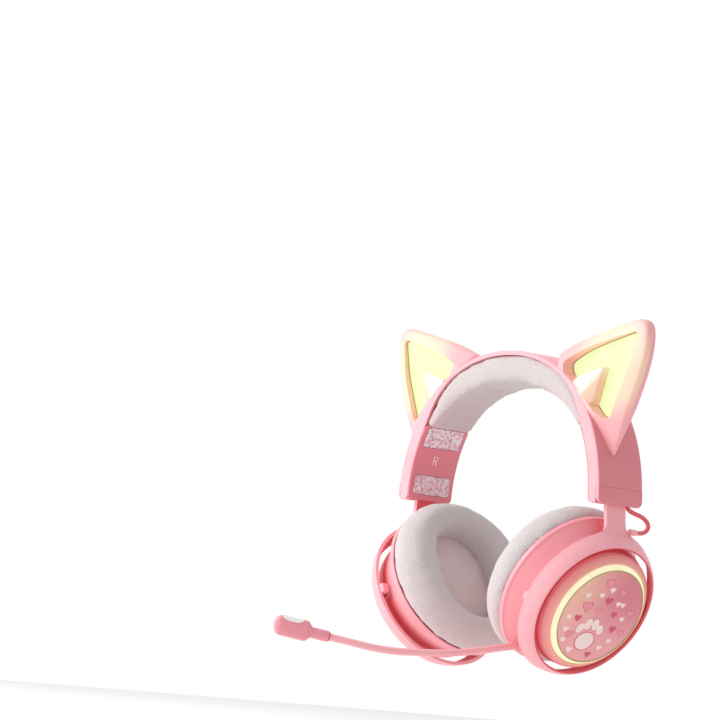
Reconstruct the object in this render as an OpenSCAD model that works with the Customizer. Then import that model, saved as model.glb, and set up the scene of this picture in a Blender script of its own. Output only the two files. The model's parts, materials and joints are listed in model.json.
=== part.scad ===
// Over-ear gaming headset with lit cat ears, hoop yokes and a boom microphone.
// Origin: centre of the wearer's head between the ends of the band.
// The wearer faces -Y and the wearer's left side is +X. Millimetres, +Z up.

/* [Headband] */
// Half width across the outside of the two legs
band_half_w = 89; // [80:0.5:108]
// Rise of the arch above the height where the legs turn upright
band_rise = 92; // [80:0.5:112]
// Width of the band from front to back
band_w = 36; // [28:0.5:44]
// Thickness of a leg, outside face to inside face
leg_t = 9.4; // [8:0.1:12]
// Wall of the moulded band shells
band_wall = 2.4; // [1.8:0.1:3]
// Squareness of the arch (2 is a plain ellipse)
arch_power = 2.14; // [2:0.02:2.6]
// Height of the bottom of the legs
leg_bottom_z = 6.5; // [2:0.5:10]
// Height of the removable cover at the end of each leg
end_cap_h = 9.5; // [7:0.5:14]
// Thickness of the head pad at the crown
pad_t = 15.5; // [10:0.5:20]
// Height where the head pad stops on each leg
pad_end_z = 52; // [48:1:60]

/* [Ears] */
// How far the ear tip stands out sideways from the ear's seat on the band
ear_tip_out = 38.5; // [30:0.5:48]
// How far the ear tip stands above the ear's seat on the band
ear_tip_up = 32.5; // [26:0.5:42]
// Radius of the ear tip
ear_tip_r = 9; // [7:0.5:11]
// How far the ear outline lies in front of the middle of the band
ear_forward = 6; // [3:0.5:8]
// Thickness of the ear along its outline
ear_edge_t = 7; // [5:0.5:9]
// Depth of the light panel below the front face
ear_panel_recess = 1.6; // [0.8:0.1:2.5]

/* [Yoke] */
// Tilt of the slider from upright, bottom outwards (degrees)
slide_tilt = 6; // [3:0.5:9]
// Travel of the slider
slide_travel = 25; // [18:1:28]
// Height of arm that shows between the leg and the hoop
arm_show = 15.2; // [12:0.2:20]
// Width of the arm
arm_w = 17; // [12:0.5:20]
// Thickness of the arm
arm_t = 2.6; // [2.2:0.1:3]
// Width of the spring-steel strip above the arm
strip_w = 13; // [9:0.5:15]
// Radial gap between the cup and the back edge of the hoop
hoop_gap = 0.5; // [0.3:0.1:2]
// Wall of the hoop
hoop_wall = 1.9; // [1.5:0.1:2.6]
// Radius of the steel pivot pins
pin_r = 1.5; // [1.2:0.1:1.8]
// Radial clearance of the pins in the cup
pin_clearance = 0.05; // [0.02:0.01:0.1]

/* [Ear cups] */
// Radius of the cup at the cushion seam
cup_r = 48; // [41:0.5:58]
// Lean of the cups, bottoms towards each other (degrees)
toe_in = 28; // [18:1:32]
// Wall of the cup housing
cup_wall = 2; // [1.6:0.1:2.6]
// Thickness of the ear cushion
cushion_t = 18; // [14:0.5:22]
// How far the cushion bulges out past the cup
cushion_bulge = 2; // [0.5:0.5:4]
// Half height of the ear pocket
pocket_up = 29; // [24:0.5:32]
// Half width of the ear pocket, front to back
pocket_across = 22; // [18:0.5:25]
// Radius of the speaker frame
driver_r = 25; // [20:0.5:26]
// Radius of the faceplate
plate_r = 30.3; // [25:0.1:34]
// Width of the light ring around the faceplate
glow_w = 3; // [2:0.1:4]

/* [Microphone] */
// Radius of the boom tube
boom_r = 2.1; // [1.6:0.1:2.6]
// Length of the boom section next to the cup
boom_len_a = 35; // [30:1:45]
// Length of the middle boom section
boom_len_b = 27; // [20:1:35]
// Length of the last boom section
boom_len_c = 28; // [15:1:30]
// Length of each flexible section
flex_len = 14; // [10:1:20]
// Length of the microphone head
mic_len = 22; // [18:0.5:28]
// Height of the microphone head
mic_h = 11; // [9:0.5:14]
// Depth of the microphone head
mic_d = 8.4; // [7:0.2:10]

/* [Controls] */
// Radius of the push buttons
button_r = 3.2; // [2.6:0.1:4]
// Radius of the volume wheel
wheel_r = 7.5; // [6:0.1:9]
// Bore radius of the 3.5 mm audio socket
jack_bore_r = 1.8; // [1.76:0.01:1.85]
// Depth of the audio socket's bore
jack_len = 14; // [12:0.5:16]

/* [Hidden] */
$fn = 96;

arch_base_z = 5;            // height where the legs turn upright
touch = 0.02;               // sliver left between faces that only meet
fit = 0.4;                  // gap round a part that slides
steps = 72;                 // straight pieces round the arch

// Colours
pink = "#f7b6be";
deep_pink = "#d98a90";
cream = "#f6efdc";
glow = "#f4ffc9";
cloth_grey = "#d9d5d3";
steel = "#b9bcc0";
board_green = "#2f6b4a";
dark = "#3a3a40";

// Where things sit along the cup's own axis (0 is the cup centre, + is outwards)
seam_a = -15;
baffle_t = 2;
pivot_a = 3;
hoop_back_a = 1.2;
hoop_front_a = 11.2;
cap_back_a = 9;
cap_front_a = 15.3;
floor_a = 12;
board_a = 5;
board_t = 1.6;

// Radii that follow the cup
hoop_back_r = cup_r + hoop_gap;
hoop_front_r = cup_r - 7.5;
waist_r = cup_r - 8;
cushion_r = cup_r + cushion_bulge;
cap_front_r = plate_r + glow_w + 0.7;
// Where the slider line and the hoop put the cup centre
arm_x = band_half_w - leg_t / 2 - 0.3;
hoop_top_x = arm_x + arm_show * tan(slide_tilt) + 3.4;
cup_x = hoop_top_x - (hoop_back_a + 1.1) * cos(toe_in) - hoop_back_r * sin(toe_in);
cup_z = leg_bottom_z - arm_show + (hoop_back_a + 1.1) * sin(toe_in) - hoop_back_r * cos(toe_in);
cap_top_z = leg_bottom_z + end_cap_h;
arm_y = 0.5;

// Signed power that keeps the arch's two halves alike
function spow(v, e) = sign(v) * pow(abs(v), e);
// A point of the arch, pulled in by "in" at the legs and "down" at the crown
function arch_point(t, in, down) = [
    (band_half_w - in) * spow(cos(t), 2 / arch_power),
    arch_base_z + (band_rise - down) * pow(abs(sin(t)), 2 / arch_power)];
function arch_points(in, down, from = 0, to = 180) =
    [for (i = [0 : steps]) arch_point(from + (to - from) * i / steps, in, down)];
// Angle of the arch point at a height on the outside face
function arch_angle(z) = asin(pow((z - arch_base_z) / band_rise, arch_power / 2));

// Straight-through solid under the arch, w wide
module under_arch(in, down, w) {
    foot = [[-(band_half_w - in), leg_bottom_z - 4], [band_half_w - in, leg_bottom_z - 4]];
    rotate([90, 0, 0]) linear_extrude(w, center = true)
        polygon(concat([foot[1]], arch_points(in, down), [foot[0]]));
}

// Curved band between two depths under the arch
module arch_band(in, down, in2, down2, w) {
    difference() {
        under_arch(in, down, w);
        under_arch(in2, down2, w + 2);
    }
}

// Everything between two heights
module slab(z1, z2) {
    translate([-200, -60, z1]) cube([400, 120, z2 - z1]);
}

// Left as drawn, or mirrored to the right side
module side(s) {
    if (s > 0) children();
    else mirror([1, 0, 0]) children();
}

// Cup frame: X up along the cup face, Y to the front, Z outwards
module at_cup(s) {
    side(s) translate([cup_x, 0, cup_z]) rotate([0, 90 + toe_in, 0]) rotate([0, 0, 180]) children();
}

// Cup frame turned so that X points radially at an angle (0 up, 90 front)
module at_rim(s, angle, r, a) {
    at_cup(s) rotate([0, 0, angle]) translate([r, 0, a]) children();
}

// Slider frame: Z up along the slider, X outwards, origin where the arm leaves the leg
module at_slider(s) {
    side(s) translate([arm_x, arm_y, leg_bottom_z]) rotate([0, -slide_tilt, 0]) children();
}

module rounded_box(size, r) {
    linear_extrude(size[2], center = true) offset(r) offset(-r) square([size[0], size[1]], center = true);
}

// Round bar between two points
module rod(p, q, r) {
    d = q - p;
    translate(p) rotate([0, acos(d[2] / norm(d)), atan2(d[1], d[0])]) cylinder(h = norm(d), r = r, $fn = 32);
}

// ---- Swept tubes ----
function unit(v) = v / norm(v);
function tangent(p, i) = unit(p[min(i + 1, len(p) - 1)] - p[max(i - 1, 0)]);
function side_axis(t, ref) = unit(cross(t, ref));

// Tube along a list of points, with a fixed reference direction that is never along it
module tube(p, r, ref, sides = 8) {
    n = len(p);
    rings = [for (i = [0 : n - 1]) let (t = tangent(p, i), u = side_axis(t, ref), v = cross(t, u))
        for (k = [0 : sides - 1]) p[i] + r * (cos(360 * k / sides) * u + sin(360 * k / sides) * v)];
    walls = [for (i = [0 : n - 2]) for (k = [0 : sides - 1]) let (l = (k + 1) % sides)
        [i * sides + k, i * sides + l, (i + 1) * sides + l, (i + 1) * sides + k]];
    first = [[for (k = [0 : sides - 1]) sides - 1 - k]];
    last = [[for (k = [0 : sides - 1]) (n - 1) * sides + k]];
    polyhedron(rings, concat(walls, first, last), convexity = 4);
}

// Smooth curve through hand-set corners, each corner rounded by a parabola
function corner(a, b, c, n) = [for (i = [0 : n]) let (t = i / n)
    (1 - t) * (1 - t) * a + 2 * t * (1 - t) * b + t * t * c];

// ---- Headband ----
module leg_walls() {
    for (y = [-1, 1]) translate([0, y * (band_w - band_wall) / 2, 0])
        intersection() {
            arch_band(0, 0, leg_t, leg_t, band_wall);
            slab(leg_bottom_z, pad_end_z);
        }
}

module band_shell() {
    color(pink) difference() {
        union() {
            intersection() {
                arch_band(0, 0, band_wall, band_wall, band_w);
                slab(cap_top_z + 0.1, 200);
            }
            leg_walls();
        }
        // seats of the covers at the ends of the legs
        intersection() {
            arch_band(-1, -1, band_wall + touch, band_wall + touch, band_w + 1);
            slab(leg_bottom_z - 1, cap_top_z + 0.1);
        }
        for (s = [-1, 1]) side(s) {
            at_screws(0.8, 6, screw_r);
            // room for the slider strip, whatever the curve of the leg
            at_slider(1) translate([0, 0, strip_top / 2 + fit])
                cube([strip_t + 2 * fit, strip_w + 2 * fit, strip_top], center = true);
        }
    }
}

// Screws that clamp the ends of the spring to the shell, square to its face
spring_t = 0.9;
screw_z = pad_end_z + 6;
screw_y = 9;
screw_r = 0.9;
screw_head_t = 0.8;

// Frame on the outside face of the left leg: X is square to the face, outwards
module at_leg(z) {
    t = arch_angle(z);
    p = arch_point(t, 0, 0);
    d = arch_point(t + 1, 0, 0) - arch_point(t - 1, 0, 0);
    translate([p[0], 0, p[1]]) rotate([0, -atan2(-d[0], d[1]), 0]) children();
}

// Round bars at the two screws, between two depths under the outside face
module at_screws(from, to, r) {
    at_leg(screw_z) for (y = [-screw_y, screw_y]) translate([-to, y, 0]) rotate([0, 90, 0])
        cylinder(h = to - from, r = r, $fn = 24);
}

module band_spring() {
    color(steel) difference() {
        intersection() {
            arch_band(band_wall + touch, band_wall + touch, band_wall + spring_t, band_wall + spring_t,
                band_w - 12);
            slab(pad_end_z + 3, 200);
        }
        for (s = [-1, 1]) side(s) at_screws(0, 6, screw_r + 0.1);
    }
}

// Padded roll under the crown: full depth in the middle, thinning to the leg covers
module head_pad() {
    gap = band_wall + spring_t + screw_head_t + 0.3;
    color(cloth_grey) intersection() {
        arch_band(gap, gap, leg_t, band_wall + pad_t, band_w - 1);
        slab(pad_end_z + 0.3, 200);
    }
}

cover_t = 2;

module leg_cover(s) {
    slot = band_w - 2 * band_wall - 0.2;
    color(deep_pink) difference() {
        intersection() {
            arch_band(leg_t - cover_t, leg_t - cover_t, leg_t, leg_t, slot);
            slab(leg_bottom_z + cap_floor_t + touch, pad_end_z);
            side(s) translate([0, -60, 0]) cube([200, 120, 200]);
        }
        for (z = inlay_z) inlay_block(s, z, 0.15);
    }
}

// Two patterned inlays are let into each leg cover
inlay_h = 12;
inlay_w = 29;
inlay_t = 1;
inlay_z = [leg_bottom_z + 9.5, pad_end_z - 7];

module inlay_block(s, z, grow) {
    intersection() {
        arch_band(leg_t - inlay_t - grow, leg_t - inlay_t - grow, leg_t, leg_t, inlay_w + 2 * grow);
        slab(z - inlay_h / 2 - grow, z + inlay_h / 2 + grow);
        side(s) translate([0, -60, 0]) cube([200, 120, 200]);
    }
}

module trim_inlays() {
    color(cream) for (s = [-1, 1]) for (z = inlay_z) inlay_block(s, z, 0);
}

// Cover at the end of a leg: outside plate, floor and the slot the arm slides through
cap_floor_t = 2.2;

module end_cap(s) {
    inner_w = band_w - 2 * band_wall - 0.2;
    color(deep_pink) side(s) difference() {
        union() {
            intersection() {
                arch_band(0, 0, band_wall, band_wall, band_w);
                slab(leg_bottom_z, cap_top_z);
                translate([0, -60, 0]) cube([200, 120, 200]);
            }
            translate([band_half_w - leg_t + 0.1, -inner_w / 2, leg_bottom_z])
                cube([leg_t - band_wall - 0.1 + touch, inner_w, cap_floor_t]);
        }
        at_slider(1) cube([arm_t + 2 * fit, arm_w + 2 * fit, 20], center = true);
        translate([cable_route[0][0], cable_route[0][1], leg_bottom_z - 1])
            cylinder(h = 5, r = cable_r + 0.1, $fn = 32);
    }
}

// Self-tapping screws under the head pad
module band_screws() {
    seat = band_wall + spring_t + 0.1;
    color(steel) for (s = [-1, 1]) side(s) {
        at_screws(0.9, seat + 0.1, screw_r - touch);
        at_screws(seat, seat + screw_head_t, 1.7);
    }
}

// ---- Cat ears ----
ear_seat = arch_point(45, 0, 0);

// Outline of the ear in the front view, measured from its seat on the band
module ear_outline(inset = 0) {
    translate(ear_seat) hull() {
        translate([ear_tip_out, ear_tip_up]) circle(ear_tip_r - inset, $fn = 40);
        translate([ear_tip_out * 0.3, ear_tip_up * 0.83]) circle(10 - inset, $fn = 40);
        translate([ear_tip_out * 0.93, ear_tip_up * 0.38]) circle(8 - inset, $fn = 40);
        translate([-26, 22]) circle(2.5 - inset / 2, $fn = 24);
        translate([18.5, -27]) circle(3 - inset / 2, $fn = 24);
    }
}

// Stretch of the band that the ear spreads over
module ear_base(w) {
    rotate([90, 0, 0]) linear_extrude(w, center = true)
        polygon(concat(arch_points(0.5, 0.5, 33, 63), [arch_point(48, 9, 9)]));
}

// Whole ear before it is split: thin along its outline, as wide as the band at its foot
module ear_hull() {
    hull() {
        translate([0, -ear_forward, 0]) rotate([90, 0, 0])
            linear_extrude(ear_edge_t, center = true) ear_outline();
        ear_base(band_w - 0.4);
        // point of the V on the outside of the leg
        translate([ear_seat[0] + 19, -ear_forward - 0.6, ear_seat[1] - 34]) sphere(1.2, $fn = 16);
    }
}

module ear_body() {
    difference() {
        ear_hull();
        under_arch(-touch, -touch, 80);
    }
}

ear_split_y = -ear_forward + 1;

module ear_front_half() {
    translate([-200, -60, -60]) cube([400, 60 + ear_split_y - touch, 260]);
}

module ear_back_half() {
    translate([-200, ear_split_y, -60]) cube([400, 60, 260]);
}

// Hollow for the lights and their wires
module ear_hollow() {
    translate([0, -ear_forward + 1.5, 0]) rotate([90, 0, 0])
        linear_extrude(ear_edge_t - 2, center = true) ear_outline(6);
}

// Window of the light panel, a broad chevron with round corners
module window_outline(inset = 0) {
    translate(ear_seat) hull() {
        translate([-9.5, 16]) circle(4 - inset, $fn = 32);
        translate([10, 25]) circle(5 - inset, $fn = 32);
        translate([34.5, 29.5]) circle(4 - inset, $fn = 32);
        translate([19, -8]) circle(5.5 - inset, $fn = 32);
        translate([2, -6]) circle(4 - inset, $fn = 32);
    }
}

// Notch of the chevron, filled by the raised centre ridge
module notch_outline(inset = 0) {
    translate(ear_seat) hull() {
        translate([13.5, 13.5]) circle(1.6 - inset, $fn = 24);
        translate([-9.5, 8.5]) circle(1.6 - inset, $fn = 24);
        translate([8.5, -6]) circle(1.6 - inset, $fn = 24);
        translate([-8, -8]) circle(1.6 - inset, $fn = 24);
    }
}

module through(w = 60) {
    rotate([90, 0, 0]) linear_extrude(w, center = true) children();
}

// The window cut through the ear; a strip of the bezel stays along the band
window_strip = 2;

module window_block(inset = 0) {
    difference() {
        through() window_outline(inset);
        under_arch(-window_strip - inset, -window_strip - inset, 80);
    }
}

module ear_back(s) {
    color(pink) side(s) difference() {
        intersection() {
            ear_body();
            ear_back_half();
        }
        ear_hollow();
    }
}

module ear_bezel(s) {
    color("#fbd3c8") side(s) difference() {
        intersection() {
            ear_body();
            ear_front_half();
        }
        window_block();
        ear_hollow();
    }
}

module ear_light(s) {
    color(glow) side(s) difference() {
        intersection() {
            translate([0, ear_panel_recess, 0]) ear_body();
            ear_front_half();
            window_block(touch);
        }
        through() notch_outline();
        ear_hollow();
    }
}

module ear_ridge(s) {
    color(cream) side(s) intersection() {
        ear_body();
        ear_front_half();
        window_block(touch);
        through() notch_outline(touch);
    }
}

// ---- Yokes ----
// Section of the hoop: a conical band, widest at its back edge
function hoop_section() = [
    [hoop_back_r - hoop_wall, hoop_back_a], [hoop_back_r - 0.4, hoop_back_a],
    [hoop_back_r, hoop_back_a + 0.8], [hoop_back_r - 0.6, hoop_back_a + 2.6],
    [hoop_back_r - 3.4, hoop_back_a + 6.2], [hoop_front_r, hoop_front_a],
    [hoop_front_r - 0.7, hoop_front_a + 0.4], [hoop_front_r - hoop_wall, hoop_front_a - 0.4],
    [hoop_back_r - 3.6 - hoop_wall, hoop_back_a + 5]];

module yoke(s) {
    color(pink) difference() {
        union() {
            at_cup(s) rotate_extrude($fn = 128) polygon(hoop_section());
            arm(s);
            // bosses that carry the two pivot pins
            for (front = [-90, 90]) at_rim(s, front, 0, pivot_a) rotate([0, 90, 0])
                translate([0, 0, waist_r + 1.2]) cylinder(h = hoop_back_r - waist_r - 2.2, r = 3.4, $fn = 48);
        }
        for (front = [-90, 90]) at_rim(s, front, 0, pivot_a) rotate([0, 90, 0])
            translate([0, 0, waist_r - 8]) cylinder(h = hoop_back_r - waist_r + 7, r = pin_r, $fn = 48);
        // room for the cup to tilt inside the hoop
        at_cup(s) rotate_extrude($fn = 128) polygon([[0, -40], [cup_r + 4, -40],
            [hoop_back_r - hoop_wall - 0.2, hoop_back_a - 2.6], [waist_r + 1.1, hoop_back_a - 2.6],
            [waist_r + 1.1, pivot_a + 4], [hoop_front_r - hoop_wall - 0.1, hoop_front_a],
            [0, hoop_front_a]]);
    }
}

// Arm of the yoke: a flat bar that runs up into the leg and flares into the hoop
module arm(s) {
    drop = arm_show * 0.75;
    at_slider(s) translate([-arm_t / 2, -arm_w / 2, -drop]) cube([arm_t, arm_w, drop + arm_inside]);
    hull() {
        at_slider(s) translate([-arm_t / 2, -arm_w / 2, -drop]) cube([arm_t, arm_w, 2]);
        at_cup(s) translate([hoop_back_r - 3.2, -arm_y, hoop_back_a + 0.2]) flare_foot();
    }
    // grommet where the cable goes back into the arm
    side(s) rod(cable_end - [0, touch, 0], cable_end - [0, 6, 0], cable_r + 1);
}

// Stretch of the hoop that the arm flares into
module flare_foot() {
    translate([0, -flare_w / 2, 0]) cube([3, flare_w, 4.6]);
}

flare_w = 28;
arm_inside = 12;

// Spring-steel strip that carries the arm's notches up inside the leg
strip_t = 1.2;
strip_top = slide_travel + 6;
notch_pitch = 2.6;

module slider_strip(s) {
    color(steel) at_slider(s) difference() {
        translate([-strip_t / 2, -strip_w / 2, arm_inside + touch])
            cube([strip_t, strip_w, strip_top - arm_inside]);
        for (z = [arm_inside + 3 : notch_pitch : strip_top - 2]) translate([0, strip_w / 2, z])
            rotate([0, 90, 0]) cylinder(h = 4, r = 0.8, center = true, $fn = 24);
    }
}

// Short signal cable: down out of the end cap, back, and into the yoke
cable_r = 1.3;
cable_out = [arm_x - 0.2, arm_y + arm_w / 2 + fit + cable_r + 1, leg_bottom_z + 2.4];
cable_route = [cable_out, cable_out + [0, 0.2, -3], cable_out + [0.4, 1.6, -4.6],
    cable_out + [1, 6, -6], cable_out + [1.8, 11, -7.2], cable_out + [2.6, 14.6, -9.6],
    cable_out + [3.4, 15.4, -12.4], cable_out + [3.9, 13.8, -15.2], cable_out + [4, 10.5, -16.8],
    cable_out + [4, 7.4, -17.2], cable_out + [4, 4.6, -17.2]];
cable_end = cable_route[len(cable_route) - 1];

module cable_loop(s) {
    color(pink) side(s) tube(smooth(cable_route, 3), cable_r, [1, 0, 0]);
}

// Chain of parabolas through the midpoints of a hand-set route
function smooth(p, n) = concat([p[0]],
    [for (i = [1 : len(p) - 2]) for (q = corner((p[i - 1] + p[i]) / 2, p[i], (p[i] + p[i + 1]) / 2, n)) q],
    [p[len(p) - 1]]);

module pivot_pins(s) {
    color(steel) for (front = [-90, 90]) at_rim(s, front, 0, pivot_a) rotate([0, 90, 0])
        translate([0, 0, waist_r - 5.5]) cylinder(h = hoop_back_r - waist_r + 3.8, r = pin_r, $fn = 48);
}

// ---- Ear cups ----
// Outside of the housing from the seam to the cap, as radius and height
housing_outside = [[cup_r, seam_a], [cup_r, seam_a + 2], [cup_r - 0.8, seam_a + 3.6],
    [cup_r - 3, seam_a + 6.8], [cup_r - 5.6, seam_a + 11], [waist_r, seam_a + 17],
    [waist_r - 0.9, pivot_a + 3.6], [waist_r - 2, cap_back_a]];

function inset_wall(p, w) = [for (i = [len(p) - 1 : -1 : 0]) [p[i][0] - w, p[i][1]]];

module housing_shell() {
    rotate_extrude($fn = 128)
        polygon(concat(housing_outside, inset_wall(housing_outside, cup_wall)));
}

// Shaft of the volume wheel on a lug inside the housing
module wheel_axle() {
    at_rim(1, wheel_angle, wheel_centre_r, control_a) {
        translate([0, 0, -wheel_t / 2 - 2.2]) cylinder(h = wheel_t + 2.8, r = axle_r, $fn = 32);
        translate([-2.5, -3, -wheel_t / 2 - 2.4]) cube([cup_r - wheel_centre_r + 1.4, 6, 1.8]);
    }
}

axle_r = 1.3;
wheel_t = 3.2;
wheel_centre_r = cup_r - 7.5;
wheel_angle = -112;
power_angle = -134;
mute_angle = -150;
usb_angle = 179;
jack_angle = -166;
control_a = -8;
control_r = cup_r - 3.6;    // radius of the housing where the controls sit

module cup_housing(s) {
    color(pink) difference() {
        union() {
            at_cup(s) housing_shell();
            // bosses for the pivot pins
            for (front = [-90, 90]) at_rim(s, front, 0, pivot_a) rotate([0, 90, 0])
                translate([0, 0, waist_r - 7]) cylinder(h = 6.4, r = 3.4, $fn = 48);
            if (s > 0) {
                // guide for the boom
                intersection() {
                    rod(boom_start - 6 * boom_dir_a, boom_start + 3 * boom_dir_a, boom_r + 1.6);
                    at_cup(s) translate([0, 0, seam_a]) cylinder(h = 24, r = control_r + 0.8);
                }
                wheel_axle();
            }
        }
        for (front = [-90, 90]) at_rim(s, front, 0, pivot_a) rotate([0, 90, 0])
            translate([0, 0, waist_r - 6]) cylinder(h = 12, r = pin_r + pin_clearance, $fn = 48);
        if (s > 0) {
            rod(boom_start - 20 * boom_dir_a, boom_start + 12 * boom_dir_a, boom_r + 0.25);
            for (angle = [power_angle, mute_angle]) at_rim(s, angle, control_r - 12, control_a)
                rotate([0, 90, 0]) cylinder(h = 16, r = button_r + 0.3, $fn = 48);
            at_rim(s, wheel_angle, wheel_centre_r + 5, control_a)
                cube([12, 2 * wheel_r + 2, wheel_t + 1], center = true);
            at_rim(s, usb_angle, control_r - 8, control_a) rotate([0, 90, 0])
                linear_extrude(16) usb_outline(0.15);
            at_rim(s, jack_angle, control_r - 16, control_a) rotate([0, 90, 0])
                cylinder(h = 20, r = jack_outer_r + 0.1, $fn = 48);
        }
    }
}

// Plate between the cushion and the cup; holds the speaker
module baffle(s) {
    r = cup_r - cup_wall - 0.1;
    color(dark) at_cup(s) translate([0, 0, seam_a]) difference() {
        cylinder(h = baffle_t, r = r, $fn = 96);
        translate([0, 0, -1]) cylinder(h = baffle_t + 2, r = driver_r - 1.5, $fn = 96);
        for (a = [30 : 60 : 330]) rotate([0, 0, a]) translate([driver_r + 8, 0, -1])
            cylinder(h = baffle_t + 2, r = 1.6, $fn = 24);
    }
}

// Speaker: basket with a magnet on its back
module driver(s) {
    color("#50545c") at_cup(s) translate([0, 0, seam_a + baffle_t + touch]) rotate_extrude($fn = 96)
        polygon([[driver_r - 2, 0], [driver_r, 0], [driver_r, 2.4], [driver_r * 0.8, 3.6],
            [driver_r * 0.52, 6.6], [driver_r * 0.52, 9], [0, 9], [0, 5.6], [driver_r * 0.4, 5.6],
            [driver_r * 0.66, 2.6], [driver_r - 2, 1.4]]);
}

module diaphragm(s) {
    color(cream) at_cup(s) translate([0, 0, seam_a + baffle_t + touch]) rotate_extrude($fn = 96)
        polygon([[0, 2.4], [driver_r * 0.22, 2.1], [driver_r * 0.38, 0.9], [driver_r * 0.44, 0.5],
            [driver_r * 0.66, 0.7], [driver_r - 2.1, 0.2], [driver_r - 2.1, 0.6],
            [driver_r * 0.66, 1.1], [driver_r * 0.44, 0.9], [driver_r * 0.38, 1.3],
            [driver_r * 0.22, 2.5], [0, 2.8]]);
}

// Outer cover of the cup: cone, floor for the lights and posts for the circuit board
module cup_cap(s) {
    r = waist_r - 2;
    color("#f3bfb0") at_cup(s) {
        rotate_extrude($fn = 128) polygon([[r, cap_back_a + touch], [r - 0.5, cap_back_a + 2.4],
            [cap_front_r + 0.6, cap_front_a - 0.8], [cap_front_r, cap_front_a],
            [cap_front_r - 0.8, cap_front_a], [cap_front_r - 0.8, floor_a + 1.4], [0, floor_a + 1.4],
            [0, floor_a], [r - 3, floor_a - 1.6], [r - 2, cap_back_a + touch]]);
        for (a = [60 : 120 : 300]) rotate([0, 0, a]) translate([post_r, 0, board_a + board_t + touch])
            cylinder(h = floor_a - board_a - board_t, r = 2.2, $fn = 32);
    }
}

post_r = 25;

module led_board(s) {
    color(cream) at_cup(s) translate([0, 0, floor_a + 1.4 + touch]) difference() {
        cylinder(h = 1, r = cap_front_r - 1, $fn = 96);
        translate([0, 0, -1]) cylinder(h = 3, r = plate_r - 9, $fn = 96);
    }
}

module light_ring(s) {
    inner = plate_r + 0.1;
    color(glow) at_cup(s) rotate_extrude($fn = 128) polygon([[inner, floor_a + 2.5],
        [cap_front_r - 0.9, floor_a + 2.5], [cap_front_r - 0.9, cap_front_a],
        [cap_front_r - 1.5, cap_front_a + 0.7], [inner + 0.5, cap_front_a + 0.9],
        [inner, cap_front_a + 0.5]]);
}

// Domed plate over the lights
plate_rise = 2.4;

module faceplate(s) {
    dome = [for (i = [0 : 12]) [plate_r * (1 - i / 12), cap_front_a + plate_rise * (1 - pow(1 - i / 12, 2))]];
    color(deep_pink) at_cup(s) rotate_extrude($fn = 128)
        polygon(concat([[0, floor_a + 2.5], [plate_r, floor_a + 2.5]], dome));
}

// Plain solid of the soft ear cushion, with its oval ear pocket
module ear_cushion(s) {
    back = seam_a - touch;
    face = seam_a - cushion_t;
    color(cloth_grey) at_cup(s) difference() {
        rotate_extrude($fn = 96) polygon([[0, back], [cushion_r - 2.4, back], [cushion_r - 0.6, back - 3],
            [cushion_r, back - 8], [cushion_r - 1.6, face + 5], [cushion_r - 6, face + 1],
            [cushion_r - 11, face], [0, face]]);
        translate([0, 0, face - 1]) linear_extrude(cushion_t + 3)
            hull() for (u = [-1, 1]) translate([u * (pocket_up - pocket_across), 0])
                circle(pocket_across, $fn = 64);
    }
}

// Cloth stretched over the speaker at the bottom of the ear pocket
module speaker_cloth(s) {
    color("#bfaaaa") at_cup(s) translate([0, 0, seam_a - 1.2]) linear_extrude(1)
        hull() for (u = [-1, 1]) translate([u * (pocket_up - pocket_across), 0])
            circle(pocket_across - 0.3, $fn = 64);
}

// ---- Electronics and controls ----
module board_disc(r) {
    difference() {
        cylinder(h = board_t, r = r, $fn = 96);
        for (a = [0 : 120 : 240]) rotate([0, 0, a]) translate([post_r, 0, -1])
            cylinder(h = board_t + 2, r = 1, $fn = 24);
    }
}

module main_board() {
    color(board_green) at_cup(1) translate([0, 0, board_a]) {
        board_disc(post_r + 4);
        translate([-8, -6, -1.2]) cube([12, 12, 1.2]);
        translate([6, 6, -2]) cube([8, 6, 2]);
    }
}

// Rechargeable cell on its protection board in the right cup
module battery() {
    color("#6f7fb0") at_cup(-1) {
        translate([0, 0, board_a]) board_disc(post_r + 4);
        translate([0, 0, board_a - 2.9]) rounded_box([22, 36, 5.8], 2);
    }
}

module volume_wheel() {
    color(deep_pink) at_rim(1, wheel_angle, wheel_centre_r, control_a) difference() {
        cylinder(h = wheel_t, r = wheel_r, center = true, $fn = 64);
        cylinder(h = wheel_t + 1, r = axle_r + pin_clearance, center = true, $fn = 32);
        for (a = [0 : 15 : 345]) rotate([0, 0, a]) translate([wheel_r + 0.25, 0, 0])
            cylinder(h = wheel_t + 1, r = 0.6, center = true, $fn = 16);
    }
}

module push_button(angle) {
    at_rim(1, angle, control_r - 8, control_a) rotate([0, 90, 0]) {
        cylinder(h = 8.4, r = button_r, $fn = 48);
        translate([0, 0, 8.4]) cylinder(h = 0.6, r1 = button_r, r2 = button_r - 0.6, $fn = 48);
    }
}

module power_button() {
    color(cream) push_button(power_angle);
}

module mute_button() {
    color(cream) push_button(mute_angle);
}

module usb_outline(grow) {
    hull() for (y = [-1, 1]) translate([0, y * 2.87]) circle(1.6 + grow, $fn = 32);
}

module usb_port() {
    color(steel) at_rim(1, usb_angle, control_r - 6.4, control_a) rotate([0, 90, 0]) {
        linear_extrude(6.2) difference() {
            usb_outline(0);
            offset(-0.3) usb_outline(0);
        }
        linear_extrude(0.8) usb_outline(0);
        translate([-0.35, -3.3, 0.8]) cube([0.7, 6.6, 4]);
    }
}

jack_outer_r = 3.2;

module audio_jack() {
    color(dark) at_rim(1, jack_angle, control_r - jack_len, control_a) rotate([0, 90, 0]) difference() {
        cylinder(h = jack_len, r = jack_outer_r, $fn = 48);
        translate([0, 0, -1]) cylinder(h = jack_len + 2, r = jack_bore_r, $fn = 48);
    }
}

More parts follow.
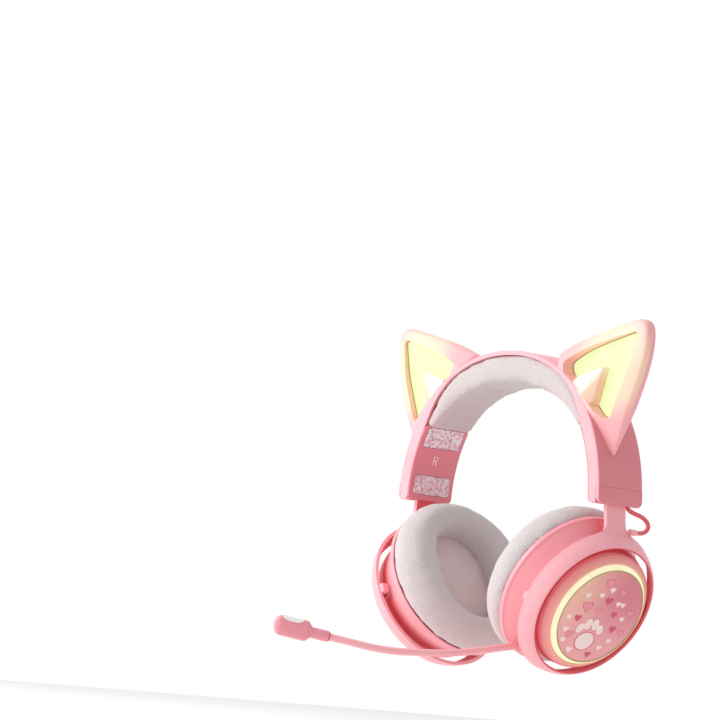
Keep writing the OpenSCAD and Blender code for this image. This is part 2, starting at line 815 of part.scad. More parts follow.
// ---- Microphone boom ----
function heading(inward, up) = [-sin(inward) * cos(up), -cos(inward) * cos(up), sin(up)];
function from_cup(up, front, a) = [
    cup_x + a * cos(toe_in) + up * sin(toe_in), -front,
    cup_z - a * sin(toe_in) + up * cos(toe_in)];
boom_dir_a = heading(14, -11);
boom_dir_b = heading(24, -3);
boom_dir_c = heading(32, 9);
boom_tail = 8;              // length that stays inside the cup
boom_reach = sqrt(pow(control_r + 1.1, 2) - 37 * 37);
boom_start = from_cup(-37, boom_reach, control_a);
boom_p1 = boom_start + boom_len_a * boom_dir_a;
hinge_inner = boom_p1 + flex_len / 2 * boom_dir_a;
boom_p2 = hinge_inner + flex_len / 2 * boom_dir_b;
boom_p3 = boom_p2 + boom_len_b * boom_dir_b;
hinge_outer = boom_p3 + flex_len / 2 * boom_dir_b;
boom_p4 = hinge_outer + flex_len / 2 * boom_dir_c;
boom_p5 = boom_p4 + boom_len_c * boom_dir_c;
collar_len = 10;
collar_r = 3.2;
mic_start = boom_p5 + collar_len * boom_dir_c;

module boom_base() {
    color(pink) rod(boom_start - boom_tail * boom_dir_a, boom_p1, boom_r);
}

module boom_middle() {
    color(pink) rod(boom_p2, boom_p3, boom_r);
}

module boom_tip() {
    color(deep_pink) {
        rod(boom_p4, boom_p5, boom_r);
        difference() {
            rod(boom_p5 - 0.4 * boom_dir_c, mic_start, collar_r);
            rod(boom_p5 - boom_dir_c, boom_p5 - touch * boom_dir_c, boom_r);
        }
    }
}

// Flexible section: straight for a moment at each end, so that it meets the rods face to face
module boom_flex(start, hinge, end) {
    lead = 0.5;
    bend = corner(start + lead * unit(hinge - start), hinge, end - lead * unit(end - hinge), 6);
    color(pink) tube(concat([start], bend, [end]), boom_r, [0, 0, 1], 12);
}

module boom_flex_inner() {
    boom_flex(boom_p1, hinge_inner, boom_p2);
}

module boom_flex_outer() {
    boom_flex(boom_p3, hinge_outer, boom_p4);
}

// Frame at the neck of the microphone head: X on along the boom, Z up
module at_mic() {
    translate(mic_start) rotate([0, 0, atan2(boom_dir_c[1], boom_dir_c[0])])
        rotate([0, -asin(boom_dir_c[2]), 0]) children();
}

module mic_outline(inset) {
    hull() {
        translate([3.2 + touch, 0]) circle(3.2 - inset, $fn = 32);
        translate([6.5, 0.9]) circle(mic_h / 2 - 0.9 - inset, $fn = 32);
        translate([mic_len - 4, mic_h / 2 - 3]) circle(3.6 - inset, $fn = 32);
        translate([mic_len - 4, 3.6 - mic_h / 2]) circle(3.6 - inset, $fn = 32);
    }
}

module mic_window(grow) {
    translate([mic_len * 0.36 - grow, -mic_d, mic_h / 2 - 2.6 - grow])
        cube([mic_len * 0.5 + 2 * grow, 2 * mic_d, 6]);
}

module mic_head() {
    color(pink) at_mic() difference() {
        rotate([90, 0, 0]) linear_extrude(mic_d, center = true) mic_outline(0);
        mic_window(0.05);
        translate([mic_len * 0.62, 0, 0]) cylinder(h = mic_h, r = 2.6, center = true, $fn = 32);
    }
}

module mic_diffuser() {
    color("white") at_mic() difference() {
        intersection() {
            rotate([90, 0, 0]) linear_extrude(mic_d - 0.4, center = true) mic_outline(0);
            mic_window(0);
        }
        translate([mic_len * 0.62, 0, 0]) cylinder(h = mic_h - 3.2, r = 2.6, center = true, $fn = 32);
    }
}

module mic_capsule() {
    color(dark) at_mic() translate([mic_len * 0.62, 0, -1]) cylinder(h = 3.6, r = 2.5, center = true, $fn = 32);
}

band_shell();
band_spring();
head_pad();
leg_cover(1);  // leg_cover_left
leg_cover(-1);  // leg_cover_right
end_cap(1);  // end_cap_left
end_cap(-1);  // end_cap_right
trim_inlays();
band_screws();
ear_back(1);  // ear_back_left
ear_back(-1);  // ear_back_right
ear_bezel(1);  // ear_bezel_left
ear_bezel(-1);  // ear_bezel_right
ear_light(1);  // ear_light_left
ear_light(-1);  // ear_light_right
ear_ridge(1);  // ear_ridge_left
ear_ridge(-1);  // ear_ridge_right
yoke(1);  // yoke_left
yoke(-1);  // yoke_right
slider_strip(1);  // slider_strip_left
slider_strip(-1);  // slider_strip_right
cable_loop(1);  // cable_loop_left
cable_loop(-1);  // cable_loop_right
pivot_pins(1);  // pivot_pins_left
pivot_pins(-1);  // pivot_pins_right
cup_housing(1);  // cup_housing_left
cup_housing(-1);  // cup_housing_right
baffle(1);  // baffle_left
baffle(-1);  // baffle_right
driver(1);  // driver_left
driver(-1);  // driver_right
diaphragm(1);  // diaphragm_left
diaphragm(-1);  // diaphragm_right
cup_cap(1);  // cup_cap_left
cup_cap(-1);  // cup_cap_right
led_board(1);  // led_board_left
led_board(-1);  // led_board_right
light_ring(1);  // light_ring_left
light_ring(-1);  // light_ring_right
faceplate(1);  // faceplate_left
faceplate(-1);  // faceplate_right
ear_cushion(1);  // ear_cushion_left
ear_cushion(-1);  // ear_cushion_right
speaker_cloth(1);  // speaker_cloth_left
speaker_cloth(-1);  // speaker_cloth_right
main_board();
battery();
volume_wheel();
power_button();
mute_button();
usb_port();
audio_jack();
boom_base();
boom_middle();
boom_tip();
boom_flex_inner();
boom_flex_outer();
mic_head();
mic_diffuser();
mic_capsule();
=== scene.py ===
"""A pink gaming headset with lit cat ears: its visible surfaces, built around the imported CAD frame.

Lengths are in millimetres until a mesh is made. X is the wearer's left, -Y the way the wearer faces, Z up.
"""
import json
import math
import random

import bmesh
import bpy
from mathutils import Matrix, Vector, noise


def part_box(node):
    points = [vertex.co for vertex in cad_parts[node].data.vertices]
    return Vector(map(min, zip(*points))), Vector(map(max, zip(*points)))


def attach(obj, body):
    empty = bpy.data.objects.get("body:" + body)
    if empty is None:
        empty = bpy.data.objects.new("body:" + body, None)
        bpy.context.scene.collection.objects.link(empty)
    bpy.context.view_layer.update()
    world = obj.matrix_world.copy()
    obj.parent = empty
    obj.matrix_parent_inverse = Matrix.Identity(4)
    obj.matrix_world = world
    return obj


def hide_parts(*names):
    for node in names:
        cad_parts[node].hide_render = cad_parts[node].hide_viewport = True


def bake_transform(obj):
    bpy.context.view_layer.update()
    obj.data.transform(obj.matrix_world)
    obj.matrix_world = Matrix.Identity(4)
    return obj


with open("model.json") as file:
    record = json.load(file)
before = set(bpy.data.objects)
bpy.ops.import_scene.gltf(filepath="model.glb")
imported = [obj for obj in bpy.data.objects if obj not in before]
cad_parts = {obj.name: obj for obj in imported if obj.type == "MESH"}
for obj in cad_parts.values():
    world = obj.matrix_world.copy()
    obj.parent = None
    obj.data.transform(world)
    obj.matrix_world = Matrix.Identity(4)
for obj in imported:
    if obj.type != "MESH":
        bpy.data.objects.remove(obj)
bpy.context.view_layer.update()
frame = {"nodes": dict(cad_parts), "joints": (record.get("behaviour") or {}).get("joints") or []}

SIDES = {"left": 1, "right": -1}
nodes = frame["nodes"]
joints = {j["name"]: j for j in frame["joints"]}


def mm(v):
    return Vector(v) * 1000


# ---- Driving places and sizes, from the frame ----
HALF_W = mm(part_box("end_cap_left")[1]).x          # half width across the legs
CROWN_Z = mm(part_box("band_shell")[1]).z           # top of the band
LEG_BOTTOM = mm(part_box("end_cap_left")[0]).z
CAP_TOP = mm(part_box("end_cap_left")[1]).z         # seam of the end cover
HALF_BAND = mm(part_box("band_shell")[1]).y         # half the band's width, front to back
PAD_END = mm(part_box("head_pad")[0]).z
ARCH_BASE = 5.0                                   # height where the legs turn upright
ARCH_POWER = 2.14                                 # squareness of the arch
LEG_T = 9.4                                       # thickness of a leg
SHELL_T = 2.4                                     # wall of the band shell
PAD_T = 17.9                                      # shell and pad together at the crown

PIVOT = mm(joints["cup_tilt_left"]["pos_m"])
OUT = Vector(joints["volume"]["axis"])            # outwards along the left cup's axis
UP = Vector((-OUT.z, 0, OUT.x))                   # up along the cup's face
FRONT = Vector((0, -1, 0))
PIVOT_A = 3.0                                     # height of the pivot on the cup's axis
CUP = PIVOT - PIVOT_A * OUT                       # cup centre
CUP_R = 48.0                                      # cup at the cushion seam
SEAM_A = -16.5
WAIST_R = CUP_R - 8
HOOP_BACK_R = CUP_R - 0.8
HOOP_FRONT_R = CUP_R - 5.0
HOOP_BACK_A = 1.2
HOOP_FRONT_A = 11.2
PLATE_R = 30.3
PLATE_A = 15.3
PLATE_RISE = 1.0
PLATE_EDGE = PLATE_A + 2.2                        # edge of the plate, above the light ring's foot
CUSHION_T = 19.8
POCKET_UP = 30.0
POCKET_ACROSS = 24.2
CONTROL_R = CUP_R - 3.6
CONTROL_A = -8.0
SLIDE = Vector(joints["slider_left"]["axis"])     # down along the left arm
BOOM_R = 2.1

# ---- Small geometry tools ----


def arch(t, inwards=0.0, down=0.0):
    """(x, z) of the arch at t degrees, 0 at the left foot and 90 at the crown."""
    c, s = math.cos(math.radians(t)), math.sin(math.radians(t))
    e = 2 / ARCH_POWER
    x = (HALF_W - inwards) * math.copysign(abs(c) ** e, c)
    return x, ARCH_BASE + (CROWN_Z - ARCH_BASE - down) * abs(s) ** e


def arch_angle(z):
    return math.degrees(math.asin(max(0.0, (z - ARCH_BASE) / (CROWN_Z - ARCH_BASE)) ** (ARCH_POWER / 2)))


def arch_normal(t):
    """Unit (x, z) square to the arch, outwards."""
    (x0, z0), (x1, z1) = arch(t - 0.5), arch(t + 0.5)
    return Vector((z1 - z0, x0 - x1)).normalized()


def under(t, depth, y):
    """Point at a depth under the outside face of the arch."""
    x, z = arch(t)
    n = arch_normal(t)
    return Vector((x - depth * n.x, y, z - depth * n.y))


def leg_angle(z, depth):
    """Arch angle whose point at that depth lies at height z."""
    low, high = 0.0, 80.0
    for _ in range(40):
        t = (low + high) / 2
        if under(t, depth, 0).z < z:
            low = t
        else:
            high = t
    return low


def smooth(low, high, v):
    """0 below low, 1 above high and an S between them."""
    s = min(1.0, max(0.0, (v - low) / (high - low)))
    return s * s * (3 - 2 * s)


def mix(a, b, s):
    return a + (b - a) * s


def cup_point(r, angle, a):
    """Point of the left cup: radius, angle (0 up, 90 front, degrees) and height along the axis."""
    w = math.radians(angle)
    return CUP + r * math.cos(w) * UP + r * math.sin(w) * FRONT + a * OUT


def cup_flat(up, front, a):
    return CUP + up * UP + front * FRONT + a * OUT


def rounded(corners, closed=True, pieces=5):
    """Points along a path of corners (u, v, radius), each corner turned by a short curve."""
    points = []
    count = len(corners)
    for i, (u, v, radius) in enumerate(corners):
        if radius == 0 or (not closed and i in (0, count - 1)):
            points.append((u, v))
            continue
        here = Vector((u, v))
        back = Vector(corners[i - 1][:2]) - here
        on = Vector(corners[(i + 1) % count][:2]) - here
        p = here + back.normalized() * min(radius, back.length * 0.49)
        q = here + on.normalized() * min(radius, on.length * 0.49)
        for k in range(pieces + 1):
            t = k / pieces
            points.append(tuple((1 - t) ** 2 * p + 2 * t * (1 - t) * here + t * t * q))
    return points


def skin(rings, wrap=False, caps=True):
    """Points and faces of a surface through rings of equal length; each ring is a closed loop."""
    n = len(rings[0])
    points = [p for ring in rings for p in ring]
    last = len(rings) if wrap else len(rings) - 1
    faces = []
    for i in range(last):
        a, b = i * n, (i + 1) % len(rings) * n
        faces += [(a + k, a + (k + 1) % n, b + (k + 1) % n, b + k) for k in range(n)]
    if caps and not wrap:
        faces += [tuple(range(n - 1, -1, -1)), tuple(range(len(points) - n, len(points)))]
    return points, faces


def lathe(profile, segments=128):
    """Closed profile of (radius, height) turned round the left cup's axis."""
    turns = [[cup_point(r, 360 * i / segments, a) for r, a in profile] for i in range(segments)]
    return skin(turns, wrap=True)


def tube_rings(path, radius, sides=20):
    """Rings round a path of points, carried along it without twisting."""
    rings = []
    normal = None
    for i, p in enumerate(path):
        t = (path[min(i + 1, len(path) - 1)] - path[max(i - 1, 0)]).normalized()
        normal = t.orthogonal() if normal is None else normal
        normal = (normal - t * normal.dot(t)).normalized()
        other = t.cross(normal)
        r = radius(i) if callable(radius) else radius
        rings.append([p + r * (math.cos(w) * normal + math.sin(w) * other)
                      for w in (2 * math.pi * k / sides for k in range(sides))])
    return rings


def curve_through(corners, pieces=6):
    """Smooth curve that starts and ends on the first and last corner and is pulled to the others."""
    out = [corners[0]]
    for i in range(1, len(corners) - 1):
        a = (corners[i - 1] + corners[i]) / 2 if i > 1 else corners[0]
        b = (corners[i] + corners[i + 1]) / 2 if i < len(corners) - 2 else corners[-1]
        for k in range(1, pieces + 1):
            t = k / pieces
            out.append((1 - t) ** 2 * a + 2 * t * (1 - t) * corners[i] + t * t * b)
    return out


# ---- Pieces ----


def piece(name, shape, material, body, side=1, sharp=40, bevel=0.0, merge=True):
    """Object from (points in mm, faces), mirrored for the right side, in metres, riding on a body."""
    points, faces = shape
    mesh = bpy.data.meshes.new(name)
    mesh.from_pydata([(p[0] * side / 1000, p[1] / 1000, p[2] / 1000) for p in points], [], faces)
    bm = bmesh.new()
    bm.from_mesh(mesh)
    if merge:
        bmesh.ops.remove_doubles(bm, verts=bm.verts, dist=2e-6)
        bmesh.ops.dissolve_degenerate(bm, edges=bm.edges, dist=1e-7)
    bmesh.ops.recalc_face_normals(bm, faces=bm.faces)
    bm.to_mesh(mesh)
    bm.free()
    obj = bpy.data.objects.new(name, mesh)
    bpy.context.scene.collection.objects.link(obj)
    mesh.materials.append(material)
    shade(obj, sharp)
    if bevel:
        m = obj.modifiers.new("edges", "BEVEL")
        m.width = bevel / 1000
        m.segments = 3
        m.limit_method = "ANGLE"
        m.angle_limit = math.radians(38)
    if body:
        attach(obj, body)
    return obj


def shade(obj, sharp):
    for p in obj.data.polygons:
        p.use_smooth = True
    obj.data.set_sharp_from_angle(angle=math.radians(sharp))


def apply_modifiers(obj, sharp=40):
    """The object's mesh becomes what its modifiers make of it."""
    graph = bpy.context.evaluated_depsgraph_get()
    graph.update()
    made = bpy.data.meshes.new_from_object(obj.evaluated_get(graph), depsgraph=graph)
    obj.modifiers.clear()
    obj.data = made
    shade(obj, sharp)


def carve(obj, shape, side=1, operation="DIFFERENCE", sharp=40):
    """Cuts a shape out of an object, or keeps only what they share."""
    cutter = piece("cutter", shape, obj.data.materials[0], None, side)
    m = obj.modifiers.new("cut", "BOOLEAN")
    m.operation = operation
    m.solver = "EXACT"
    m.object = cutter
    apply_modifiers(obj, sharp)
    bpy.data.objects.remove(cutter)


def prism(outline, y0, y1):
    """Straight-sided solid of an (x, z) outline between two depths."""
    return skin([[Vector((x, y, z)) for x, z in outline] for y in (y0, y1)])


# ---- Materials ----


def colour(r, g, b):
    """Linear colour from the usual 0-255 screen values."""
    def channel(v):
        v /= 255
        return v / 12.92 if v <= 0.04045 else ((v + 0.055) / 1.055) ** 2.4
    return channel(r), channel(g), channel(b), 1.0


class Shader:
    """A material's node tree with its Principled shader, and short ways to add nodes to it."""

    def __init__(self, name, roughness=0.5):
        self.material = bpy.data.materials.new(name)
        self.material.use_nodes = True
        self.tree = self.material.node_tree
        self.bsdf = self.tree.nodes["Principled BSDF"]
        self.bsdf.inputs["Roughness"].default_value = roughness
        self.place = self.tree.nodes.new("ShaderNodeTexCoord").outputs["Object"]

    def set(self, name, value):
        self.bsdf.inputs[name].default_value = value

    def node(self, kind, settings=None, **inputs):
        n = self.tree.nodes.new("ShaderNode" + kind)
        for key, value in (settings or {}).items():
            setattr(n, key, value)
        for key, value in inputs.items():
            socket = n.inputs[int(key[1:])] if key[0] == "i" and key[1:].isdigit() else n.inputs[key]
            if isinstance(value, bpy.types.NodeSocket):
                self.tree.links.new(value, socket)
            else:
                socket.default_value = value
        return n

    def link(self, output, name):
        self.tree.links.new(output, self.bsdf.inputs[name])

    def noise(self, scale, detail=2.0):
        return self.node("TexNoise", Vector=self.place, Scale=scale, Detail=detail).outputs["Fac"]

    def blend(self, factor, a, b):
        n = self.node("Mix", {"data_type": "RGBA"}, i0=factor)
        for socket, value in ((n.inputs[6], a), (n.inputs[7], b)):
            if isinstance(value, bpy.types.NodeSocket):
                self.tree.links.new(value, socket)
            else:
                socket.default_value = value
        return n.outputs[2]

    def ramp(self, value, low, high):
        """0 to 1 as value goes from low to high."""
        return self.node("MapRange", {"interpolation_type": "SMOOTHSTEP"}, Value=value,
                         i1=low, i2=high).outputs[0]

    def axis(self, letter):
        return self.node("SeparateXYZ", Vector=self.place).outputs[letter]

    def bump(self, height, strength, distance=0.0004):
        n = self.node("Bump", Height=height, Strength=strength, Distance=distance)
        self.link(n.outputs[0], "Normal")


def satin(name, base, roughness=0.42, variation=0.012, grain=0.05):
    """Moulded plastic: slight mottling and a fine spark-eroded grain."""
    s = Shader(name, roughness)
    deep = [c * (1 - variation * 2) for c in base[:3]] + [1]
    s.link(s.blend(s.ramp(s.noise(45, 3), 0.3, 0.7), deep, base), "Base Color")
    s.bump(s.noise(2600, 2), grain)
    s.set("Specular IOR Level", 0.4)
    return s


def glowing(name, base, strength):
    s = Shader(name, 0.35)
    tint = s.blend(s.ramp(s.noise(90, 2), 0.3, 0.75), base, [c * 0.94 for c in base[:3]] + [1])
    s.set("Base Color", [c * 0.2 for c in base[:3]] + [1])
    s.link(tint, "Emission Color")
    s.set("Emission Strength", strength)
    return s.material


def fabric(name, base, painted_bounce_tint, low_z, high_z, thread=0.6):
    """Soft knit: small loops from two crossed waves, fuzz, and painted bounce light: a warmer, pinker tone
    lower down.
    """
    s = Shader(name, 0.9)
    worn = s.blend(s.noise(60, 4), base, [c * 0.93 for c in base[:3]] + [1])
    flecks = s.noise(1100, 5)
    mottled = s.blend(s.ramp(flecks, 0.35, 0.7), worn, [c * 0.86 for c in base[:3]] + [1])
    # painted bounce light: pinker lower down, as if reflected from the pink parts around
    s.link(s.blend(s.ramp(s.axis("Z"), high_z, low_z), mottled, painted_bounce_tint), "Base Color")
    loops = s.node("TexVoronoi", Vector=s.place, Scale=1000.0).outputs["Distance"]
    fuzz = s.noise(500, 5)
    s.bump(s.node("Math", {"operation": "ADD"}, i0=loops, i1=fuzz).outputs[0], thread, 0.0005)
    s.set("Sheen Weight", 0.35)
    s.set("Sheen Roughness", 0.5)
    return s.material


def inlay_pattern():
    """Print of small petals in white, pink and grey with dark centres."""
    s = Shader("inlay_print", 0.3)
    petals = s.node("TexVoronoi", Vector=s.place, Scale=620.0)
    tone = s.node("SeparateColor", Color=petals.outputs["Color"]).outputs[0]
    pale = s.blend(s.ramp(tone, 0.18, 0.5), colour(236, 170, 184), colour(246, 230, 236))
    grey = s.blend(s.ramp(tone, 0.78, 0.9), pale, colour(208, 178, 188))
    dots = s.node("TexVoronoi", Vector=s.place, Scale=330.0)
    dark = s.ramp(dots.outputs["Distance"], 0.26, 0.08)
    s.link(s.blend(dark, grey, colour(150, 100, 118)), "Base Color")
    s.bump(petals.outputs["Distance"], 0.2, 0.0002)
    s.set("Coat Weight", 0.4)
    return s.material


SHELL = satin("shell_satin", colour(252, 178, 186)).material
LEG_IN = satin("leg_inside", colour(238, 136, 148)).material
HOUSING = satin("housing_satin", colour(252, 160, 170)).material
BOOM = satin("boom_satin", colour(250, 178, 184)).material
MIC_PINK = satin("mic_satin", colour(240, 152, 164)).material
CABLE = satin("cable_sheath", colour(232, 104, 114), 0.5).material
# painted shade for the yoke's faces that look towards the cup
YOKE_PAINTED_SHADE = satin("yoke_inside_painted_shade", colour(236, 104, 114), 0.5).material
SEAM = satin("seam_shadow", colour(168, 84, 98), 0.8).material
LETTER = satin("letter_satin", colour(255, 224, 228), 0.4).material
KHAKI = satin("light_edge", colour(176, 164, 104), 0.5).material
STEEL = satin("steel_pin", colour(190, 190, 194), 0.3).material
STEEL.node_tree.nodes["Principled BSDF"].inputs["Metallic"].default_value = 1.0
BLACK = satin("black_plastic", colour(56, 54, 60), 0.5).material
BOARD = satin("solder_resist", colour(60, 120, 84), 0.4).material
CELL = satin("cell_wrap", colour(112, 128, 176), 0.4).material
WHITE = satin("white_diffuser", colour(248, 244, 242), 0.4).material
CONTROL = satin("control_satin", colour(246, 200, 200), 0.35).material
LIGHT = glowing("ear_light", colour(240, 255, 188), 0.85)
RING = glowing("ring_light", colour(255, 247, 204), 0.82)
# second colour of each cloth: painted pink bounce light lower down
PAD_CLOTH = fabric("pad_knit", colour(208, 200, 199), colour(210, 188, 190), 0.05, 0.085)
CUSHION_CLOTH = fabric("cushion_knit", colour(213, 204, 205), colour(214, 188, 188), -0.1, -0.03)
SPEAKER_CLOTH = fabric("speaker_mesh", colour(236, 214, 214), colour(214, 190, 192), -0.09, -0.02, 0.6)
INLAY = inlay_pattern()
DECAL_WHITE = satin("decal_white", colour(252, 226, 222), 0.4).material
DECAL_PINK = satin("decal_pink", colour(242, 150, 166), 0.4).material
DECAL_ROSE = satin("decal_rose", colour(214, 88, 112), 0.4).material


def leg_skin_painted_shade():
    """Shell plastic with painted shade: the faces that look sideways, as the legs' outside does, are painted
    a deeper pink for the shade they stand in.
    """
    s = Shader("leg_satin_painted_shade", 0.42)
    facing = s.node("TexCoord").outputs["Normal"]
    sideways = s.node("Math", {"operation": "ABSOLUTE"}, i0=s.node("SeparateXYZ", Vector=facing).outputs["X"])
    tint = s.blend(s.ramp(s.noise(45, 3), 0.3, 0.7), colour(250, 172, 181), colour(253, 180, 188))
    # painted shade: a deeper pink on the faces that look sideways
    s.link(s.blend(s.ramp(sideways.outputs[0], 0.7, 0.92), tint, colour(228, 138, 146)), "Base Color")
    s.bump(s.noise(2600, 2), 0.05)
    s.set("Specular IOR Level", 0.4)
    return s.material


def painted_glow_skin(name, centre, near, far, colour_near, colour_far, roughness=0.42):
    """Satin plastic with painted light: a painted glow colour close to a point, as if lit from inside, and
    another colour further off.
    """
    s = Shader(name, roughness)
    gap = s.node("VectorMath", {"operation": "DISTANCE"}, i0=s.place,
                 i1=tuple(c / 1000 for c in centre)).outputs["Value"]
    # painted glow: the near colour stands in for light from inside, fading with distance
    s.link(s.blend(s.ramp(gap, near / 1000, far / 1000), colour_near, colour_far), "Base Color")
    s.bump(s.noise(2600, 2), 0.05)
    return s.material


def housing_skin(s):
    """Cup plastic: light by the cushion, deeper in the shade of the hoop."""
    m = Shader("housing_satin_" + ("left" if s > 0 else "right"), 0.4)
    side = Vector((s, 1, 1))
    off = m.node("VectorMath", {"operation": "SUBTRACT"}, i0=m.place, i1=tuple(CUP * side / 1000))
    along = m.node("VectorMath", {"operation": "DOT_PRODUCT"}, i0=off.outputs[0], i1=tuple(OUT * side))
    tint = m.blend(m.ramp(m.noise(45, 3), 0.3, 0.7), colour(249, 160, 169), colour(253, 168, 177))
    m.link(m.blend(m.ramp(along.outputs["Value"], -0.007, 0.004), tint, colour(234, 98, 108)), "Base Color")
    m.bump(m.noise(2600, 2), 0.05)
    return m.material


def printed_plate():
    """Gloss plate whose print goes from peach at the front to dusty rose at the back."""
    s = Shader("faceplate_print", 0.28)
    across = s.ramp(s.axis("Y"), -0.03, 0.012)
    warm = s.blend(across, colour(244, 190, 168), colour(222, 126, 140))
    low = s.ramp(s.axis("Z"), -0.045, -0.08)
    s.link(s.blend(low, warm, colour(244, 168, 172)), "Base Color")
    s.bump(s.noise(1400, 2), 0.03)
    s.set("Coat Weight", 0.3)
    return s.material


FACEPLATE = printed_plate()
BAND_PAINTED_SHADE_SKIN = leg_skin_painted_shade()

# ---- Headband ----
WALL_FADE = (50, 86)          # heights over which the side walls thin out towards the crown
EDGE_R = 1.3                  # rounding of the band's long edges
SEAM_GAP = 0.35


def wall_depth(z):
    """How far the side walls reach under the outside face."""
    full = mix(LEG_T - 1.0, SHELL_T + 0.2, smooth(*WALL_FADE, z))
    foot = 2.6
    low = max(0.0, foot - (z - LEG_BOTTOM))
    return full - (foot - math.sqrt(max(0.0, foot * foot - low * low)))


def stations(z_low, z_high, per_degree=1.0, ends=3.0):
    """Arch angles up one leg between two heights, closer together near both ends."""
    t0, t1 = arch_angle(z_low), arch_angle(z_high)
    count = max(6, int((t1 - t0) / per_degree))
    base = [z_low + (z_high - z_low) * i / count for i in range(count + 1)]
    near = [z for k in (0.04, 0.15, 0.32, 0.55, 0.8, 1.0) for z in (z_low + ends * k, z_high - ends * k)]
    heights = sorted(set(round(z, 4) for z in base + near if z_low <= z <= z_high))
    return [arch_angle(z) for z in heights]


def band_section(t, top):
    """Loop of the shell's U section: side walls down from a face that starts at depth top."""
    depth = max(wall_depth(arch(t)[1]), top + 0.15)
    y, w = HALF_BAND, SHELL_T
    round_r = EDGE_R if top == 0 else 0.05
    inside = max(top + 0.1, min(SHELL_T, depth - 0.05)) if top == 0 else top + 0.1
    half = rounded([(y, depth, 0.5), (y, top, round_r), (0, top, 0)], closed=False, pieces=4)
    loop = [(y - 0.2, depth)] + half[1:]
    outer = loop + [(-a, b) for a, b in reversed(loop)]
    inner = [(-(y - w), depth), (-(y - w), inside), (y - w, inside), (y - w, depth)]
    return [under(t, b, a) for a, b in outer + inner]


def band():
    """Outer shell from foot to foot; below the end covers' seam its face steps back under them."""
    low = [(t, SHELL_T + 0.03) for t in stations(LEG_BOTTOM, CAP_TOP + SEAM_GAP - 0.05)]
    seam = arch_angle(CAP_TOP + SEAM_GAP)
    high = [(seam + (90 - seam) * i / 70, 0.0) for i in range(71)]
    left = low + high
    right = [(180 - t, top) for t, top in reversed(left[:-1])]
    shape = skin([band_section(t, top) for t, top in left + right])
    shell = piece("band_shell_look", shape, BAND_PAINTED_SHADE_SKIN, "band", sharp=32)
    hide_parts("band_shell")


def leg_patch(z_low, z_high, half_w, shallow, deep, corner, edge=0.35, square_top=False):
    """Curved plate along the left leg between two heights and two depths, with round corners."""
    rings = []
    for t in stations(z_low, z_high, 1.0, corner + 0.01):
        z = arch(t)[1]
        t = leg_angle(z, deep)
        cut = max(0.0, corner - (z - z_low), 0.0 if square_top else corner - (z_high - z))
        w = half_w - (corner - math.sqrt(max(0.0, corner * corner - cut * cut)))
        e = min(edge, (deep - shallow) * 0.45)
        loop = rounded([(w, shallow, e), (w, deep, e), (-w, deep, e), (-w, shallow, e)], pieces=3)
        rings.append([under(t, d, y) for y, d in loop])
    return skin(rings)


def legs():
    """Covers inside and outside the legs, the patterned inlays and the side letters."""
    inlay_low = (mm(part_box("trim_inlays")[0]).z, 12.2)
    inlay_high = (inlay_low[0] + 29.0, 12.2)
    for name, s in SIDES.items():
        cover = piece("leg_cover_look_" + name,
                      leg_patch(LEG_BOTTOM + 0.1, PAD_END - 0.2, HALF_BAND - 0.25, LEG_T - 1.0, LEG_T, 3.0),
                      LEG_IN, "band", s)
        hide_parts("leg_cover_" + name)
        cap = piece("end_cap_look_" + name,
                    leg_patch(LEG_BOTTOM, CAP_TOP, HALF_BAND, 0, SHELL_T, 3.2, 0.6, True),
                    BAND_PAINTED_SHADE_SKIN, "band", s)
        floor = piece("end_cap_floor_" + name, leg_floor(), LEG_IN, "band", s, bevel=0.3)
        arm_slot = [arm_frame(1.8 * u, 9.2 * v, w) for w in (-6, 6) for u, v in
                    ((-1, -1), (1, -1), (1, 1), (-1, 1))]
        carve(floor, skin([arm_slot[:4], arm_slot[4:]]), s)
        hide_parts("end_cap_" + name)
        for where, (z, h) in (("low", inlay_low), ("high", inlay_high)):
            seat = piece(f"inlay_seat_{where}_{name}",
                         leg_patch(z, z + h, 14.9, LEG_T - 0.3, LEG_T + 0.1, 1.8, 0.1), SEAM, "band", s)
            inlay = piece(f"inlay_{where}_{name}",
                          leg_patch(z + 0.3, z + h - 0.3, 14.6, LEG_T - 0.3, LEG_T + 0.4, 1.6, 0.3),
                          INLAY, "band", s)
            if where == "low" and s > 0:
                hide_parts("trim_inlays")
        letter(name, s)


def leg_floor():
    z0, z1 = LEG_BOTTOM + 0.4, LEG_BOTTOM + 2.4
    x0, x1 = HALF_W - LEG_T + 1.0, HALF_W - SHELL_T - 0.1
    y = HALF_BAND - SHELL_T - 0.1
    loop = [(x0, -y), (x1, -y), (x1, y), (x0, y)]
    return skin([[Vector((u, v, z)) for u, v in loop] for z in (z0, z1)])


LETTERS = {
    "left": [[(-1.4, 2.7), (-1.4, -2.7), (1.5, -2.7)]],
    "right": [[(-1.4, -2.7), (-1.4, 2.7), (0.4, 2.7), (1.4, 2.1), (1.4, 0.7), (0.4, 0.1), (-1.4, 0.1)],
              [(0.2, 0.1), (1.5, -2.7)]],
}


def letter(name, s):
    """Side letter on the inside of the leg, in raised strokes."""
    z0, width = 31.5, 0.36
    points, faces = [], []
    for stroke in LETTERS[name]:
        path = [under(leg_angle(z0 + v, LEG_T), LEG_T + 0.02, u - 1 if s < 0 else -u - 1) for u, v in stroke]
        p, f = skin(tube_rings(path, width, 8))
        faces += [tuple(i + len(points) for i in face) for face in f]
        points += p
    mark = piece("side_letter_" + name, (points, faces), LETTER, "band", s)


SHRINK = 2.4                  # what the ends of a cloth piece lose when it is softened


